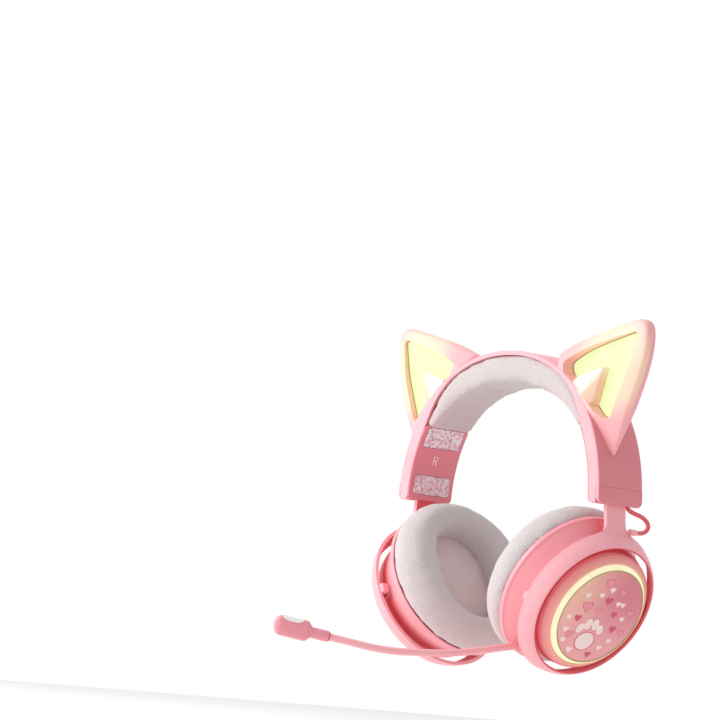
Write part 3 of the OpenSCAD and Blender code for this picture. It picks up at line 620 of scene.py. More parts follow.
def head_pad():
    """Soft roll under the crown between the two legs."""
    t0 = arch_angle(PAD_END - SHRINK)
    count = 84
    rings = []
    for i in range(count + 1):
        t = t0 + (180 - 2 * t0) * i / count
        z = arch(t)[1]
        top = wall_depth(z) + 0.15
        outside = Vector(arch(t))
        level = smooth(PAD_END, PAD_END + 26, z)
        way = Vector((-math.copysign(1.0, outside.x), 0)).lerp(-arch_normal(t), level).normalized()
        deep = pad_depth(outside, way)
        y = HALF_BAND - 0.2
        deep += 0.5
        middle = (top + deep) / 2
        loop = rounded([(y - 0.1, top - 0.3, 0.6), (y, middle, 4), (y - 0.2, deep, 2.0), (0, deep + 0.5, 0),
                        (-y + 0.2, deep, 2.0), (-y, middle, 4), (-y + 0.1, top - 0.3, 0.6)], pieces=4)
        rings.append([Vector((outside.x + d * way.x, v, outside.y + d * way.y)) for v, d in loop])
    pad = piece("head_pad_cloth", skin(rings), PAD_CLOTH, None, sharp=60)
    stuff(pad, 4.0, 1.2)
    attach(pad, "band")
    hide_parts("head_pad")


def pad_depth(start, way):
    """Distance from a point of the outside face to the pad's inside face."""
    half, rise = HALF_W - LEG_T, CROWN_Z - ARCH_BASE - PAD_T
    low, high = 0.0, 40.0
    for _ in range(40):
        d = (low + high) / 2
        p = start + way * d
        inside = (abs(p.x) / half) ** ARCH_POWER + (max(0.0, p.y - ARCH_BASE) / rise) ** ARCH_POWER
        if inside > 1:
            low = d
        else:
            high = d
    return low


def stuff(obj, voxel, cap):
    """Lets cloth swell over its filling: remesh, inflate, hold the swelling to a cap, then soften."""
    remesh = obj.modifiers.new("remesh", "REMESH")
    remesh.mode = "VOXEL"
    remesh.voxel_size = voxel / 1000
    apply_modifiers(obj, 180)
    rest = [v.co.copy() for v in obj.data.vertices]
    cloth = obj.modifiers.new("cloth", "CLOTH")
    cloth.settings.use_pressure = True
    cloth.settings.uniform_pressure_force = 4
    cloth.settings.effector_weights.gravity = 0
    for f in range(1, 21):
        bpy.context.scene.frame_set(f)
    apply_modifiers(obj, 180)
    for v, start in zip(obj.data.vertices, rest):
        move = v.co - start
        v.co = start + move * min(1.0, cap / 1000 / max(move.length, 1e-9))
    bpy.context.scene.frame_set(1)
    relax = obj.modifiers.new("relax", "SMOOTH")
    relax.factor = 0.5
    relax.iterations = 1
    fine = obj.modifiers.new("fine", "SUBSURF")
    fine.levels = fine.render_levels = 1
    apply_modifiers(obj, 180)


# ---- Cat ears ----
EAR_FRONT = -9.6                                  # front of the ear's rim
EAR_BACK = -2.6
PANEL_Y = -8.4                                    # face of the light
EAR_OUTLINE = rounded([(36, 95.5, 3), (58, 104, 12), (88, 111.2, 14), (109.5, 116.5, 13), (111.5, 98, 16),
                       (104.5, 75, 14), (86.5, 33.5, 1)], pieces=6)
WINDOW = rounded([(48.5, 89.5, 3.2), (62, 96.6, 8), (84, 102.9, 8), (104.2, 107.6, 5), (99, 84.5, 10),
                  (92, 68, 8), (86.4, 54.6, 5), (79.6, 57.5, 2.4), (64, 73, 0), (50.5, 82.5, 2.4)], pieces=6)
RIDGE = {"crown": (59.8, -14.3, 80.9), "tip": (80.0, -13.4, 86.3), "leg": (74.6, -14.0, 66.5),
         "band_crown": (57.5, -17.6, 76.0), "band_mid": (66.5, -17.9, 69.0), "band_leg": (72.5, -17.0, 62.5)}


def ear_shape():
    """Hull over the ear's rim, its seat across the band and the point on the outside of the leg."""
    bm = bmesh.new()
    for x, z in EAR_OUTLINE:
        half = (EAR_BACK - EAR_FRONT) / 2 * mix(0.1, 1.0, smooth(34, 64, z))
        for y in (-half, half):
            bm.verts.new((x, (EAR_FRONT + EAR_BACK) / 2 + y, z))
    for i in range(13):
        for y in (-HALF_BAND + 0.3, HALF_BAND - 0.3):
            x, z = arch(35 + 27 * i / 12, 0.6, 0.6)
            bm.verts.new((x, y, z))
    bmesh.ops.convex_hull(bm, input=bm.verts)
    loose = [v for v in bm.verts if not v.link_faces]
    bmesh.ops.delete(bm, geom=loose, context="VERTS")
    bm.verts.index_update()
    points = [v.co.copy() for v in bm.verts]
    faces = [tuple(v.index for v in f.verts) for f in bm.faces]
    bm.free()
    return points, faces


def ears():
    core = [arch(t, 0.4, 0.4) for t in range(14, 83, 3)]
    inside = prism(core + [(20, 60), (60, 20)], -60, 60)
    for name, s in SIDES.items():
        # painted glow: peach round the ear light, pink further off
        bezel_skin = painted_glow_skin("ear_bezel_" + name, (s * 86, -9, 88), 20, 36,
                              colour(255, 214, 188), colour(252, 180, 184))
        body = piece("ear_shell_" + name, ear_shape(), bezel_skin, "band", s)
        remesh = body.modifiers.new("remesh", "REMESH")
        remesh.mode = "VOXEL"
        remesh.voxel_size = 0.0011
        apply_modifiers(body)
        soft = body.vertex_groups.new(name="soft")
        for v in body.data.vertices:
            soft.add([v.index], smooth(44, 62, v.co.z * 1000), "REPLACE")
        round_off = body.modifiers.new("round", "SMOOTH")
        round_off.factor = 0.5
        round_off.iterations = 14
        round_off.vertex_group = "soft"
        apply_modifiers(body)
        carve(body, inside, s)
        carve(body, prism(WINDOW, -60, PANEL_Y + 0.6), s, sharp=50)
        body.data.materials.append(SHELL)
        for face in body.data.polygons:
            face.material_index = int(face.center.y * 1000 > (EAR_FRONT + EAR_BACK) / 2)
        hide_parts("ear_bezel_" + name, "ear_back_" + name)
        panel = piece("ear_light_look_" + name, prism(WINDOW, PANEL_Y, PANEL_Y + 2), LIGHT, "band", s)
        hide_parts("ear_light_" + name)
        rim = piece("ear_light_edge_" + name, edge_strip(WINDOW, PANEL_Y - 0.15, 0.5), KHAKI, "band", s)
        ridge = piece("ear_ridge_look_" + name, ridge_shape(), ridge_painted_shade_skin(s), "band", s, sharp=25, bevel=0.5)
        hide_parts("ear_ridge_" + name)


def edge_strip(outline, y, width):
    """Thin frame just inside an outline."""
    centre = sum((Vector(p) for p in outline), Vector((0, 0))) / len(outline)
    rings = []
    n = len(outline)
    for i, p in enumerate(outline):
        along = (Vector(outline[(i + 1) % n]) - Vector(outline[i - 1])).normalized()
        inwards = Vector((-along.y, along.x))
        if inwards.dot(centre - Vector(p)) < 0:
            inwards = -inwards
        inner = Vector(p) + inwards * width
        outer = Vector(p) - inwards * 0.2
        rings.append([Vector((outer.x, y, outer.y)), Vector((inner.x, y, inner.y)),
                      Vector((inner.x, y + 0.6, inner.y)), Vector((outer.x, y + 0.6, outer.y))])
    return skin(rings, wrap=True)


def ridge_shape():
    top = [Vector(RIDGE[k]) for k in ("crown", "tip", "leg", "band_leg", "band_mid", "band_crown")]
    low = [Vector((p.x, PANEL_Y + 1, p.z)) for p in top]
    points = top + low
    faces = [(0, 1, 4, 5), (1, 2, 3, 4)]
    faces += [(k, (k + 1) % 6, 6 + (k + 1) % 6, 6 + k) for k in range(6)] + [(11, 10, 9, 8, 7, 6)]
    return points, faces


def ridge_painted_shade_skin(s):
    """Lit and shaded sides painted on one plastic: cream on the facet towards the crown, peach as painted
    shade on the one towards the leg.
    """
    m = Shader("ear_ridge_" + ("left" if s > 0 else "right"), 0.4)
    side = m.node("VectorMath", {"operation": "DOT_PRODUCT"}, i0=m.place, i1=(s * 0.72, 0, -0.69))
    across = m.ramp(side.outputs["Value"], -0.003, 0.003)
    # painted shade: peach on the facet towards the leg, cream on the lit one
    m.link(m.blend(across, colour(255, 240, 214), colour(246, 200, 176)),
           "Base Color")
    m.bump(m.noise(2600, 2), 0.05)
    return m.material


# ---- Yokes ----
ARM_HALF_W = 7.6
ARM_T = 2.6
ARM_X = HALF_W - LEG_T / 2 - 0.3
ARM_Y = 0.5
ARM_TOP = 14.0
FLARE_FRONT = 7.5             # height of the flare where the arm meets the hoop
FLARE_BACK = 16.0


def arm_frame(out, y, along):
    """Point in the left arm's frame: outwards, front to back, up along the arm from the leg's bottom."""
    side = Vector((-SLIDE.z, 0, SLIDE.x))
    return Vector((ARM_X, ARM_Y + y, LEG_BOTTOM)) + out * side - along * SLIDE


HOOP_OUT = rounded([(HOOP_FRONT_R - 0.8, HOOP_FRONT_A + 0.3, 0), (HOOP_FRONT_R, HOOP_FRONT_A, 0.5),
                    (HOOP_BACK_R - 1.9, HOOP_BACK_A + 6.4, 3), (HOOP_BACK_R - 0.7, HOOP_BACK_A + 2.4, 2),
                    (HOOP_BACK_R, HOOP_BACK_A + 0.4, 0)], closed=False, pieces=5)
HOOP_IN = rounded([(HOOP_FRONT_R - 1.8, HOOP_FRONT_A - 0.5, 0), (HOOP_BACK_R - 3.4, HOOP_BACK_A + 5, 3),
                   (HOOP_BACK_R - 2.0, HOOP_BACK_A, 0)], closed=False, pieces=5)


def yoke():
    """Hoop round the cup whose back edge rises and narrows into the arm, as one skin."""
    columns = 192
    spread = 10                     # columns in front of the top that flow into the arm
    behind = 19                     # and behind it
    rows_up = 26
    outer_n, inner_n = len(HOOP_OUT), len(HOOP_IN)
    points, faces = [], []
    ring = outer_n + inner_n
    for c in range(columns):
        angle = 360 * c / columns
        points += [cup_point(r, angle, a) for r, a in HOOP_OUT + HOOP_IN]
    for c in range(columns):
        a, b = c * ring, (c + 1) % columns * ring
        faces += [(a + k, a + k + 1, b + k + 1, b + k) for k in range(ring - 1) if k != outer_n - 1]
        faces.append((a + ring - 1 - 0, a + outer_n - 1, b + outer_n - 1, b + ring - 1)
                     if not (c < spread or c >= columns - behind) else ())
        faces.append((a, b, b + outer_n, a + outer_n))
    faces = [f for f in faces if f]
    picks = [(c % columns, c / (spread if c > 0 else behind)) for c in range(-behind, spread + 1)]
    grids = {}
    for kind, index in (("out", outer_n - 1), ("in", ring - 1)):
        grid = [[c * ring + index for c, _ in picks]]
        for r in range(1, rows_up + 1):
            row = []
            for c, j in picks:
                row.append(len(points))
                points.append(arm_point(kind, j, r / rows_up, points[c * ring + index]))
            grid.append(row)
        grids[kind] = grid
    for kind in grids:
        for r in range(rows_up):
            for k in range(len(picks) - 1):
                g = grids[kind]
                faces.append((g[r][k], g[r][k + 1], g[r + 1][k + 1], g[r + 1][k]))
    o, i = grids["out"], grids["in"]
    for r in range(rows_up):
        for k in (0, len(picks) - 1):
            faces.append((o[r][k], o[r + 1][k], i[r + 1][k], i[r][k]))
    for k in range(len(picks) - 1):
        faces.append((o[-1][k], o[-1][k + 1], i[-1][k + 1], i[-1][k]))
    return points, faces


def arm_point(kind, across, up, foot):
    """Point of the arm: across -1 to 1, up 0 at the hoop to 1 at the arm's top."""
    side = Vector((-SLIDE.z, 0, SLIDE.x))
    off = foot - arm_frame(0, 0, 0)
    low = -off.dot(SLIDE)
    along = mix(low, ARM_TOP, up ** 1.8)
    reach = mix(FLARE_BACK, FLARE_FRONT, smooth(-1.0, 0.6, across))
    rise = min(1.0, (along - low) / reach)
    turned = 1 - (1 - rise) ** 2.4
    y = mix(off.y, -across * ARM_HALF_W, turned)
    out = mix(off.dot(side), ARM_T / 2 if kind == "out" else -ARM_T / 2, smooth(0.0, 1.0, rise))
    return arm_frame(out, y, along)


def yokes():
    shape = yoke()
    for name, s in SIDES.items():
        hoop = piece("yoke_look_" + name, shape, SHELL, "yoke_" + name, s, sharp=42, bevel=0.35)
        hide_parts("yoke_" + name)
        for where, angle in (("front", 90), ("back", -90)):
            block = piece(f"pivot_block_{where}_{name}", pivot_block(angle), SHELL, "yoke_" + name, s,
                          bevel=0.5)
            paint_shade_inside(hoop, s)
            pin = piece(f"pivot_pin_look_{where}_{name}", pivot_pin(angle), STEEL, "yoke_" + name, s)
            if where == "front":
                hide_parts("pivot_pins_" + name)


def paint_shade_inside(hoop, s):
    """Painted shade: a deeper pink on the faces of the yoke that look towards the cup."""
    mesh = hoop.data
    if len(mesh.materials) < 2:
        mesh.materials.append(YOKE_PAINTED_SHADE)
    flip = Vector((s, 1, 1))
    for face in mesh.polygons:
        off = face.center * 1000 * flip - CUP
        radial = off - OUT * off.dot(OUT)
        if radial.normalized().dot(face.normal * flip) < -0.25:
            face.material_index = 1


def round_bar(start, way, length, radii, sides=40):
    """Bar along a direction, with (share of length, radius) steps."""
    path = [start + way * length * share for share, _ in radii]
    return skin(tube_rings(path, lambda i: radii[i][1], sides))


def pivot_block(angle):
    """Bridge from the hoop's back edge to the cup at a pivot."""
    way = (cup_point(1, angle, 0) - CUP).normalized()
    across = way.cross(OUT)
    ends = []
    for r in (WAIST_R + 1.0, HOOP_BACK_R - 1.0):
        ends.append([CUP + r * way + u * across + (PIVOT_A - 2.2 + v) * OUT
                     for u, v in rounded([(-2.7, -2.4, 1), (2.7, -2.4, 1), (2.7, 2.4, 1), (-2.7, 2.4, 1)])])
    return skin(ends)


def pivot_pin(angle):
    way = cup_point(1, angle, 0) - cup_point(0, angle, 0)
    return round_bar(cup_point(WAIST_R - 5.5, angle, PIVOT_A), way, 10.0, [(0, 1.5), (1, 1.5)])


# ---- Ear cups ----
HOUSING_PROFILE = rounded([
    (CUP_R - 2, SEAM_A + 0.05, 0), (CUP_R, SEAM_A + 0.05, 0.7),
    (CUP_R, SEAM_A + 3, 0.6), (CUP_R - 1.2, SEAM_A + 3.8, 0.6),
    (CUP_R - 3.2, SEAM_A + 7, 2), (CUP_R - 5.8, SEAM_A + 11, 2),
    (WAIST_R, SEAM_A + 17, 3), (WAIST_R - 0.9, PIVOT_A + 3.6, 2), (WAIST_R - 2, 9, 0.3),
    (WAIST_R - 4, 9, 0.3), (WAIST_R - 3, 4, 1), (CUP_R - 7.8, SEAM_A + 11, 2),
    (CUP_R - 3, SEAM_A + 3, 1),
])
CAP_PROFILE = rounded([
    (WAIST_R - 2, 9.05, 0.3), (WAIST_R - 2.2, 11.6, 0.8),
    (PLATE_R + 4.7, PLATE_A - 0.6, 1), (PLATE_R + 4.0, PLATE_A + 0.1, 0.4),
    (PLATE_R + 3.2, PLATE_A + 0.1, 0.2), (PLATE_R + 3.2, PLATE_A - 2, 0),
    (PLATE_R - 2, PLATE_A - 2, 0), (PLATE_R - 2, PLATE_A - 3, 0), (WAIST_R - 4, 9.05, 0),
])
RING_PROFILE = rounded([
    (PLATE_R + 0.1, PLATE_A - 1.9, 0),
    (PLATE_R + 3.1, PLATE_A - 1.9, 0), (PLATE_R + 3.1, PLATE_A - 0.7, 0.4),
    (PLATE_R + 1.9, PLATE_A + 1.3, 1.2), (PLATE_R + 0.3, PLATE_EDGE + 0.1, 0.4),
])


def plate_height(r):
    return PLATE_EDGE + PLATE_RISE * (1 - (r / PLATE_R) ** 2)


PLATE_STOPS = [PLATE_R * (1 - i / 14) for i in range(15)]     # radii from the plate's edge to its middle
PLATE_PROFILE = [(0, PLATE_A - 2), (PLATE_R - 0.2, PLATE_A - 2)] + [
    (r - (0.15 if i == 0 else 0), plate_height(r)) for i, r in enumerate(PLATE_STOPS)]


def cups():
    # painted glow: peach next to the light ring, deeper pink further off
    cap_skin = painted_glow_skin("cap_satin", tuple(cup_point(0, 0, PLATE_A)), 33, 39,
                        colour(250, 176, 158), colour(246, 138, 146))
    cap_skin_right = painted_glow_skin("cap_satin_right", tuple(Vector((-1, 1, 1)) * cup_point(0, 0, PLATE_A)), 33, 39,
                              colour(250, 176, 158), colour(246, 138, 146))
    for name, s in SIDES.items():
        body = "cup_" + name
        housing = piece("cup_housing_look_" + name, lathe(HOUSING_PROFILE), housing_skin(s), body, s)
        if s > 0:
            cut_controls(housing)
        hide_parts("cup_housing_" + name)
        for where, angle in (("front", 90), ("back", -90)):
            way = cup_point(1, angle, 0) - cup_point(0, angle, 0)
            boss = piece(f"pivot_boss_{where}_{name}", round_bar(cup_point(WAIST_R - 3, angle, PIVOT_A + 0.6),
                         way, 3.2, [(0, 4.6), (1, 4.6)]), HOUSING, body, s, bevel=0.4)
        cap = piece("cup_cap_look_" + name, lathe(CAP_PROFILE),
                    cap_skin if s > 0 else cap_skin_right, body, s)
        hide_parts("cup_cap_" + name)
        ring = piece("light_ring_look_" + name, lathe(RING_PROFILE), RING, body, s)
        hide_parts("light_ring_" + name)
        for where, r, a in (("inner", PLATE_R + 0.1, PLATE_EDGE), ("outer", PLATE_R + 3.2, PLATE_A - 0.7)):
            line = lathe([(r - 0.4, a - 1), (r + 0.4, a - 1), (r + 0.4, a + 0.16), (r - 0.4, a + 0.16)])
            edge = piece(f"light_ring_edge_{where}_{name}", line, KHAKI, body, s)
        plate = piece("faceplate_look_" + name, lathe(PLATE_PROFILE), FACEPLATE, body, s, sharp=50)
        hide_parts("faceplate_" + name)
        decals(name, s)
        seam = piece("cushion_seam_" + name, lathe([(CUP_R - 3, SEAM_A - 0.3), (CUP_R - 0.6, SEAM_A - 0.3),
                     (CUP_R - 0.6, SEAM_A + 0.1), (CUP_R - 3, SEAM_A + 0.1)]), SEAM, body, s)
        cushion(name, s)
        cloth_disc(name, s)


def radial_bar(angle, r0, length, radius):
    way = cup_point(1, angle, 0) - cup_point(0, angle, 0)
    return round_bar(cup_point(r0, angle, CONTROL_A), way, length, [(0, radius), (1, radius)])


def node_middle(name):
    low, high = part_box(name)
    return mm((low + high) / 2)


def rim_angle(name):
    """Angle round the left cup of a node's middle."""
    off = node_middle(name) - CUP
    return math.degrees(math.atan2(off.dot(FRONT), off.dot(UP)))


def cut_controls(housing):
    """Openings in the rear of the left housing for the wheel, the buttons, the port and the socket."""
    for node, radius in (("power_button", 3.5), ("mute_button", 3.5), ("audio_jack", 3.3)):
        carve(housing, radial_bar(rim_angle(node), CONTROL_R - 12, 18, radius))
    wheel = node_middle("volume_wheel")
    way = (cup_point(1, rim_angle("volume_wheel"), 0) - CUP).normalized()
    across = way.cross(OUT)
    box = [wheel + way * (4.5 + 6 * a) + across * 9 * b + OUT * 2.1 * c
           for c in (-1, 1) for a, b in ((-1, -1), (1, -1), (1, 1), (-1, 1))]
    carve(housing, skin([box[:4], box[4:]]))
    port = node_middle("usb_port")
    way = (cup_point(1, rim_angle("usb_port"), 0) - CUP).normalized()
    across = way.cross(OUT)
    half_w, half_h, flat = 4.5, 1.75, 4.455
    turns = [2 * math.pi * k / 24 for k in range(24)]
    outline = [(max(-flat, min(flat, half_w * math.cos(w))), half_h * math.sin(w)) for w in turns]
    rings = [[port + way * d + across * u + OUT * v for u, v in outline] for d in (-8, 8)]
    carve(housing, skin(rings))


def heart(size):
    """Heart outline, size across."""
    out = []
    for k in range(28):
        t = 2 * math.pi * k / 28
        u = 16 * math.sin(t) ** 3
        v = 13 * math.cos(t) - 5 * math.cos(2 * t) - 2 * math.cos(3 * t) - math.cos(4 * t)
        out.append((u * size / 32, v * size / 32))
    return out


def oval(w, h, turn=0.0):
    c, s = math.cos(math.radians(turn)), math.sin(math.radians(turn))
    return [(w * math.cos(t) * c - h * math.sin(t) * s, w * math.cos(t) * s + h * math.sin(t) * c)
            for t in (2 * math.pi * k / 24 for k in range(24))]


# Generic print: hearts as (up, front, size, colour) and a paw
HEARTS = [(22, 4, 6.2, "pink"), (18, 0, 4.2, "white"), (14, 6.5, 4, "white"), (11, -0.5, 6.2, "rose"),
          (6, 14, 7, "pink"), (9.5, -9, 4, "white"), (9, -13, 3.8, "white"), (-2, 17.5, 5.4, "rose"),
          (0, -17, 4, "white"), (-7, -13, 5.8, "rose"), (-10, 22.5, 4.4, "white"), (-13, 18.5, 5.2, "pink"),
          (-17, 21, 4.2, "white"), (-15, -14.5, 4, "white"), (-20, -9.5, 4.2, "white"), (4, -22, 5.8, "pink"),
          (-23, 13, 4.6, "white"), (17, -9, 4.8, "pink"), (-2, 24, 4, "white"), (4, 4, 4.8, "pink"),
          (-25, -3, 5, "rose"), (2.5, -9, 5, "rose"), (13, 17, 4, "white"), (-9, -21, 4.6, "pink")]
PAW = [((-16.5, 4.5), oval(6.8, 5.8)), ((-8.2, 12.2), oval(2.6, 3.6, 25)), ((-5.2, 7.3), oval(2.7, 3.9, 8)),
       ((-5.2, 1.7), oval(2.7, 3.9, -8)), ((-8.2, -3.2), oval(2.6, 3.6, -25))]


def decals(name, s):
    """Printed hearts and a paw as thin raised pieces on the domed plate."""
    groups = {"white": [], "pink": [], "rose": []}
    for up, front, size, tint in HEARTS:
        groups[tint].append((up, front, heart(size), 0.05))
        if tint == "pink":
            groups["rose"].append((up, front, heart(size * 1.16), 0.02))
    for (up, front), outline in PAW:
        groups["white"].append((up, front, outline, 0.06))
        groups["rose"].append((up, front, [(u * 1.1, v * 1.1) for u, v in outline], 0.03))
    for tint, shapes in groups.items():
        points, faces = [], []
        for up, front, outline, lift in shapes:
            base = len(points)
            n = len(outline)
            for layer in (lift, -0.3):
                for u, v in outline:
                    points.append(on_plate(up + v, front + u, layer))
            points.append(on_plate(up, front, lift))
            faces += [(base + k, base + (k + 1) % n, base + 2 * n) for k in range(n)]
            faces += [(base + k, base + n + k, base + n + (k + 1) % n, base + (k + 1) % n) for k in range(n)]
            faces.append(tuple(base + 2 * n - 1 - k for k in range(n)))
        material = {"white": DECAL_WHITE, "pink": DECAL_PINK, "rose": DECAL_ROSE}[tint]
        print_layer = piece(f"faceplate_print_{tint}_{name}", (points, faces), material, "cup_" + name, s,
                            merge=False)


def on_plate(up, front, lift):
    return cup_flat(up, front, plate_height(math.hypot(up, front)) + lift)


def cushion_section(angle):
    """Loop (radius, height) of the cushion's section at an angle round the cup."""
    w = math.radians(angle)
    oval_r = pocket_radius(w)
    face = SEAM_A - CUSHION_T
    bulge = CUP_R + 1.6
    inner = oval_r - 0.6
    return rounded([
        (CUP_R - 0.6, SEAM_A + 1.4, 0.8), (bulge, SEAM_A - 3.6, 4), (bulge, SEAM_A - 11, 5),
        (CUP_R - 4.5, face - 0.2, 7), (mix(oval_r, CUP_R, 0.45), face - 1.0, 4),
        (oval_r + 2.5, face + 0.8, 5.5), (inner, face + 9, 5), (inner, SEAM_A + 1.0, 1)])


def pocket_radius(w):
    """Radius of the oval ear pocket (a stretched circle) in a direction."""
    c, s = abs(math.cos(w)), abs(math.sin(w))
    lift = POCKET_UP - POCKET_ACROSS
    along = c * lift
    return along + math.sqrt(max(0.0, POCKET_ACROSS ** 2 - (s * lift) ** 2))


def cushion(name, s):
    """Soft ring with an oval ear pocket; the fabric is simulated, then given fine creases."""
    turns = []
    for i in range(96):
        angle = 360 * i / 96
        turns.append([cup_point(r, angle, a) for r, a in cushion_section(angle)])
    ring = piece("ear_cushion_cloth_" + name, skin(turns, wrap=True), CUSHION_CLOTH, None, s, sharp=180)
    stuff(ring, 4.0, 1.4)
    crease(ring, s)
    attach(ring, "cup_" + name)
    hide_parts("ear_cushion_" + name)


def crease(obj, s):
    """Low gathers across the inner edge of a cushion, from smooth noise."""
    centre = Vector((s, 1, 1)) * CUP
    for v in obj.data.vertices:
        p = v.co * 1000
        off = p - centre
        axis = Vector((s, 1, 1)) * OUT
        a = off.dot(axis)
        flat = off - axis * a
        inner = smooth(44, 34, flat.length) * smooth(SEAM_A - 2, SEAM_A - 10, a)
        wave = noise.noise(Vector((math.atan2(flat.y, flat.z) * 14, flat.length * 0.12, a * 0.1)))
        fold = noise.noise(p * 0.11)
        v.co += v.normal * (inner * 0.45 * wave + 0.35 * fold) / 1000


def cloth_disc(name, s):
    """Acoustic cloth at the bottom of the ear pocket, slightly domed with soft waves."""
    points, faces = [], []
    rings, sides = 14, 72
    for i in range(rings + 1):
        share = i / rings
        for k in range(sides):
            w = 2 * math.pi * k / sides
            r = (pocket_radius(w) + 2.5) * share
            here = Vector((r * math.cos(w), r * math.sin(w), 4))
            lift = 1.6 * (1 - share ** 2) + 0.25 * noise.noise(here * 0.16)
            points.append(cup_point(r, math.degrees(w), SEAM_A - 1.2 - lift))
    for i in range(rings):
        for k in range(sides):
            l = (k + 1) % sides
            faces.append((i * sides + k, i * sides + l, (i + 1) * sides + l, (i + 1) * sides + k))
    cloth = piece("speaker_cloth_look_" + name, (points, faces), SPEAKER_CLOTH, "cup_" + name, s, sharp=180)
    thick = cloth.modifiers.new("thick", "SOLIDIFY")
    thick.thickness = 0.0005
    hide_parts("speaker_cloth_" + name)


# ---- Cables between the legs and the yokes ----
CABLE_R = 1.3
CABLE_OUT = Vector((ARM_X - 0.2, ARM_Y + ARM_HALF_W + 0.4 + CABLE_R + 1, LEG_BOTTOM + 2.4))
CABLE_STEPS = [(0, 0, 0), (0, 0.2, -3), (0.4, 1.6, -4.6), (1, 6, -6), (1.8, 11, -7.2), (2.6, 14.6, -9.6),
               (3.4, 15.4, -12.4), (3.9, 13.8, -15.2), (4, 10.5, -16.8), (4, 7.4, -17.2), (4, 4.6, -17.2)]


def cables():
    path = curve_through([CABLE_OUT + Vector(step) for step in CABLE_STEPS], 5)
    for name, s in SIDES.items():
        loop = piece("cable_loop_look_" + name, skin(tube_rings(path, CABLE_R, 16)), CABLE, None, s)
        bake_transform(loop)
        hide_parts("cable_loop_" + name)
        bar = round_bar(path[-1] + Vector((0, 0.6, 0)), Vector((0, -1, 0)), 5.6,
                        [(0, 1.5), (0.2, 1.75), (1, 1.9)])
        sleeve = piece("cable_sleeve_" + name, bar, SHELL, "yoke_" + name, s, bevel=0.3)


# ---- Microphone ----
def microphone():
    inner, outer = mm(joints["boom_swing"]["pos_m"]), mm(joints["mic_nod"]["pos_m"])
    way_a = Vector(joints["boom_slide"]["axis"])
    way_b = (outer - inner).normalized()
    way_c = heading(32, 9)
    start = inner - way_a * (35 + 7 + 8)
    flex, soft = 7.0, 14.0
    last = 28
    neck = outer + way_c * (flex + last)
    half = inner.lerp(outer, 0.5)
    first = [start + (inner - way_a * soft - start) * i / 8 for i in range(8)]
    first += bend(inner - way_a * soft, inner, inner + way_b * soft, 24)
    first += [half]
    second = [half] + bend(outer - way_b * soft, outer, outer + way_c * soft, 24)
    second += [outer + way_c * mix(soft, flex + last, i / 6) for i in range(1, 7)]
    tube_a = piece("boom_tube_inner", skin(tube_rings(first, BOOM_R, 24)), BOOM, None)
    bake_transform(tube_a)
    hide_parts("boom_base", "boom_flex_inner", "boom_middle")
    tube_b = piece("boom_tube_outer", skin(tube_rings(second, BOOM_R, 24)), BOOM, None)
    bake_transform(tube_b)
    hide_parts("boom_flex_outer")
    collar = piece("mic_collar", round_bar(neck - way_c * 0.4, way_c, 11.2,
                   [(0, 2.9), (0.03, 3.15), (0.5, 3.2), (0.9, 3.1), (1, 2.6)]), MIC_PINK, "mic")
    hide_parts("boom_tip")
    groove = round_bar(neck - way_c * 0.9, way_c, 0.5, [(0, 2.6), (1, 2.6)])
    line = piece("mic_collar_line", groove, SEAM, "mic")
    mic_head(neck + way_c * 10, way_c)
    boom_exit(way_a, inner)


def heading(inward, up):
    i, u = math.radians(inward), math.radians(up)
    return Vector((-math.sin(i) * math.cos(u), -math.cos(i) * math.cos(u), math.sin(u)))


def bend(a, b, c, n):
    return [(1 - t) ** 2 * a + 2 * t * (1 - t) * b + t * t * c for t in (k / n for k in range(n + 1))]


def mic_half(u):
    """Half height and half depth of the microphone head at a distance along it."""
    length = 22.0
    grow = smooth(-1.0, 3.4, u)
    end = math.sqrt(max(0.0, 1 - max(0.0, (u - (length - 4.2)) / 4.2) ** 2))
    return (2.8 + 3.2 * grow) * end, (2.8 + 1.4 * grow) * (0.25 + 0.75 * end)


def mic_surface(start, way, u, w, grow=0.0):
    up_way = Vector((0, 0, 1))
    up_way = (up_way - way * up_way.dot(way)).normalized()
    depth_way = way.cross(up_way)
    high, deep = mic_half(u)
    c, s = math.cos(w), math.sin(w)
    power = 0.62
    v = math.copysign(abs(s) ** power, s) * (high + grow)
    d = math.copysign(abs(c) ** power, c) * (deep + grow)
    return start + way * u + up_way * v + depth_way * d


def mic_head(start, way):
    sides = 48
    stops = [-0.6, 0, 0.6, 1.2, 1.8, 2.4, 3.0, 4, 5.6, 7.4, 9.6, 12, 14, 16,
             17.6, 18.8, 19.8, 20.6, 21.2, 21.6, 21.9, 21.99]
    rings = [[mic_surface(start, way, u, 2 * math.pi * k / sides) for k in range(sides)] for u in stops]
    head = piece("mic_head_look", skin(rings), MIC_PINK, "mic", sharp=60)
    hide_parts("mic_head")
    first, last = 5.2, 19.0
    rings = []
    for i in range(25):
        share = i / 24
        u = mix(first, last, share)
        drop = 1.2 * math.sqrt(max(0.0, 1 - (2 * share - 1) ** 4))
        angles = [math.pi / 2 + drop * (2 * k / 16 - 1) for k in range(17)]
        outside = [mic_surface(start, way, u, w, 0.16) for w in angles]
        inside = [mic_surface(start, way, u, w, -0.6) for w in reversed(angles)]
        rings.append(outside + inside)
    lens = piece("mic_diffuser_look", skin(rings), WHITE, "mic", sharp=50)
    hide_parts("mic_diffuser")


def boom_exit(way, inner):
    """Round mouth in the housing that the boom slides through."""
    mouth = inner - way * 42
    ring = piece("boom_mouth", tube_ring(mouth, way, BOOM_R + 0.35, BOOM_R + 1.7, 3.2), HOUSING, "cup_left",
                 bevel=0.3)


def tube_ring(centre, way, inner, outer, length):
    rings = []
    across = way.orthogonal().normalized()
    other = way.cross(across)
    for k in range(48):
        w = 2 * math.pi * k / 48
        d = math.cos(w) * across + math.sin(w) * other
        rings.append([centre + d * r + way * h for r, h in
                      ((inner, -length), (inner, 0.6), (outer, 0.6), (outer, -length))])
    return skin(rings, wrap=True)


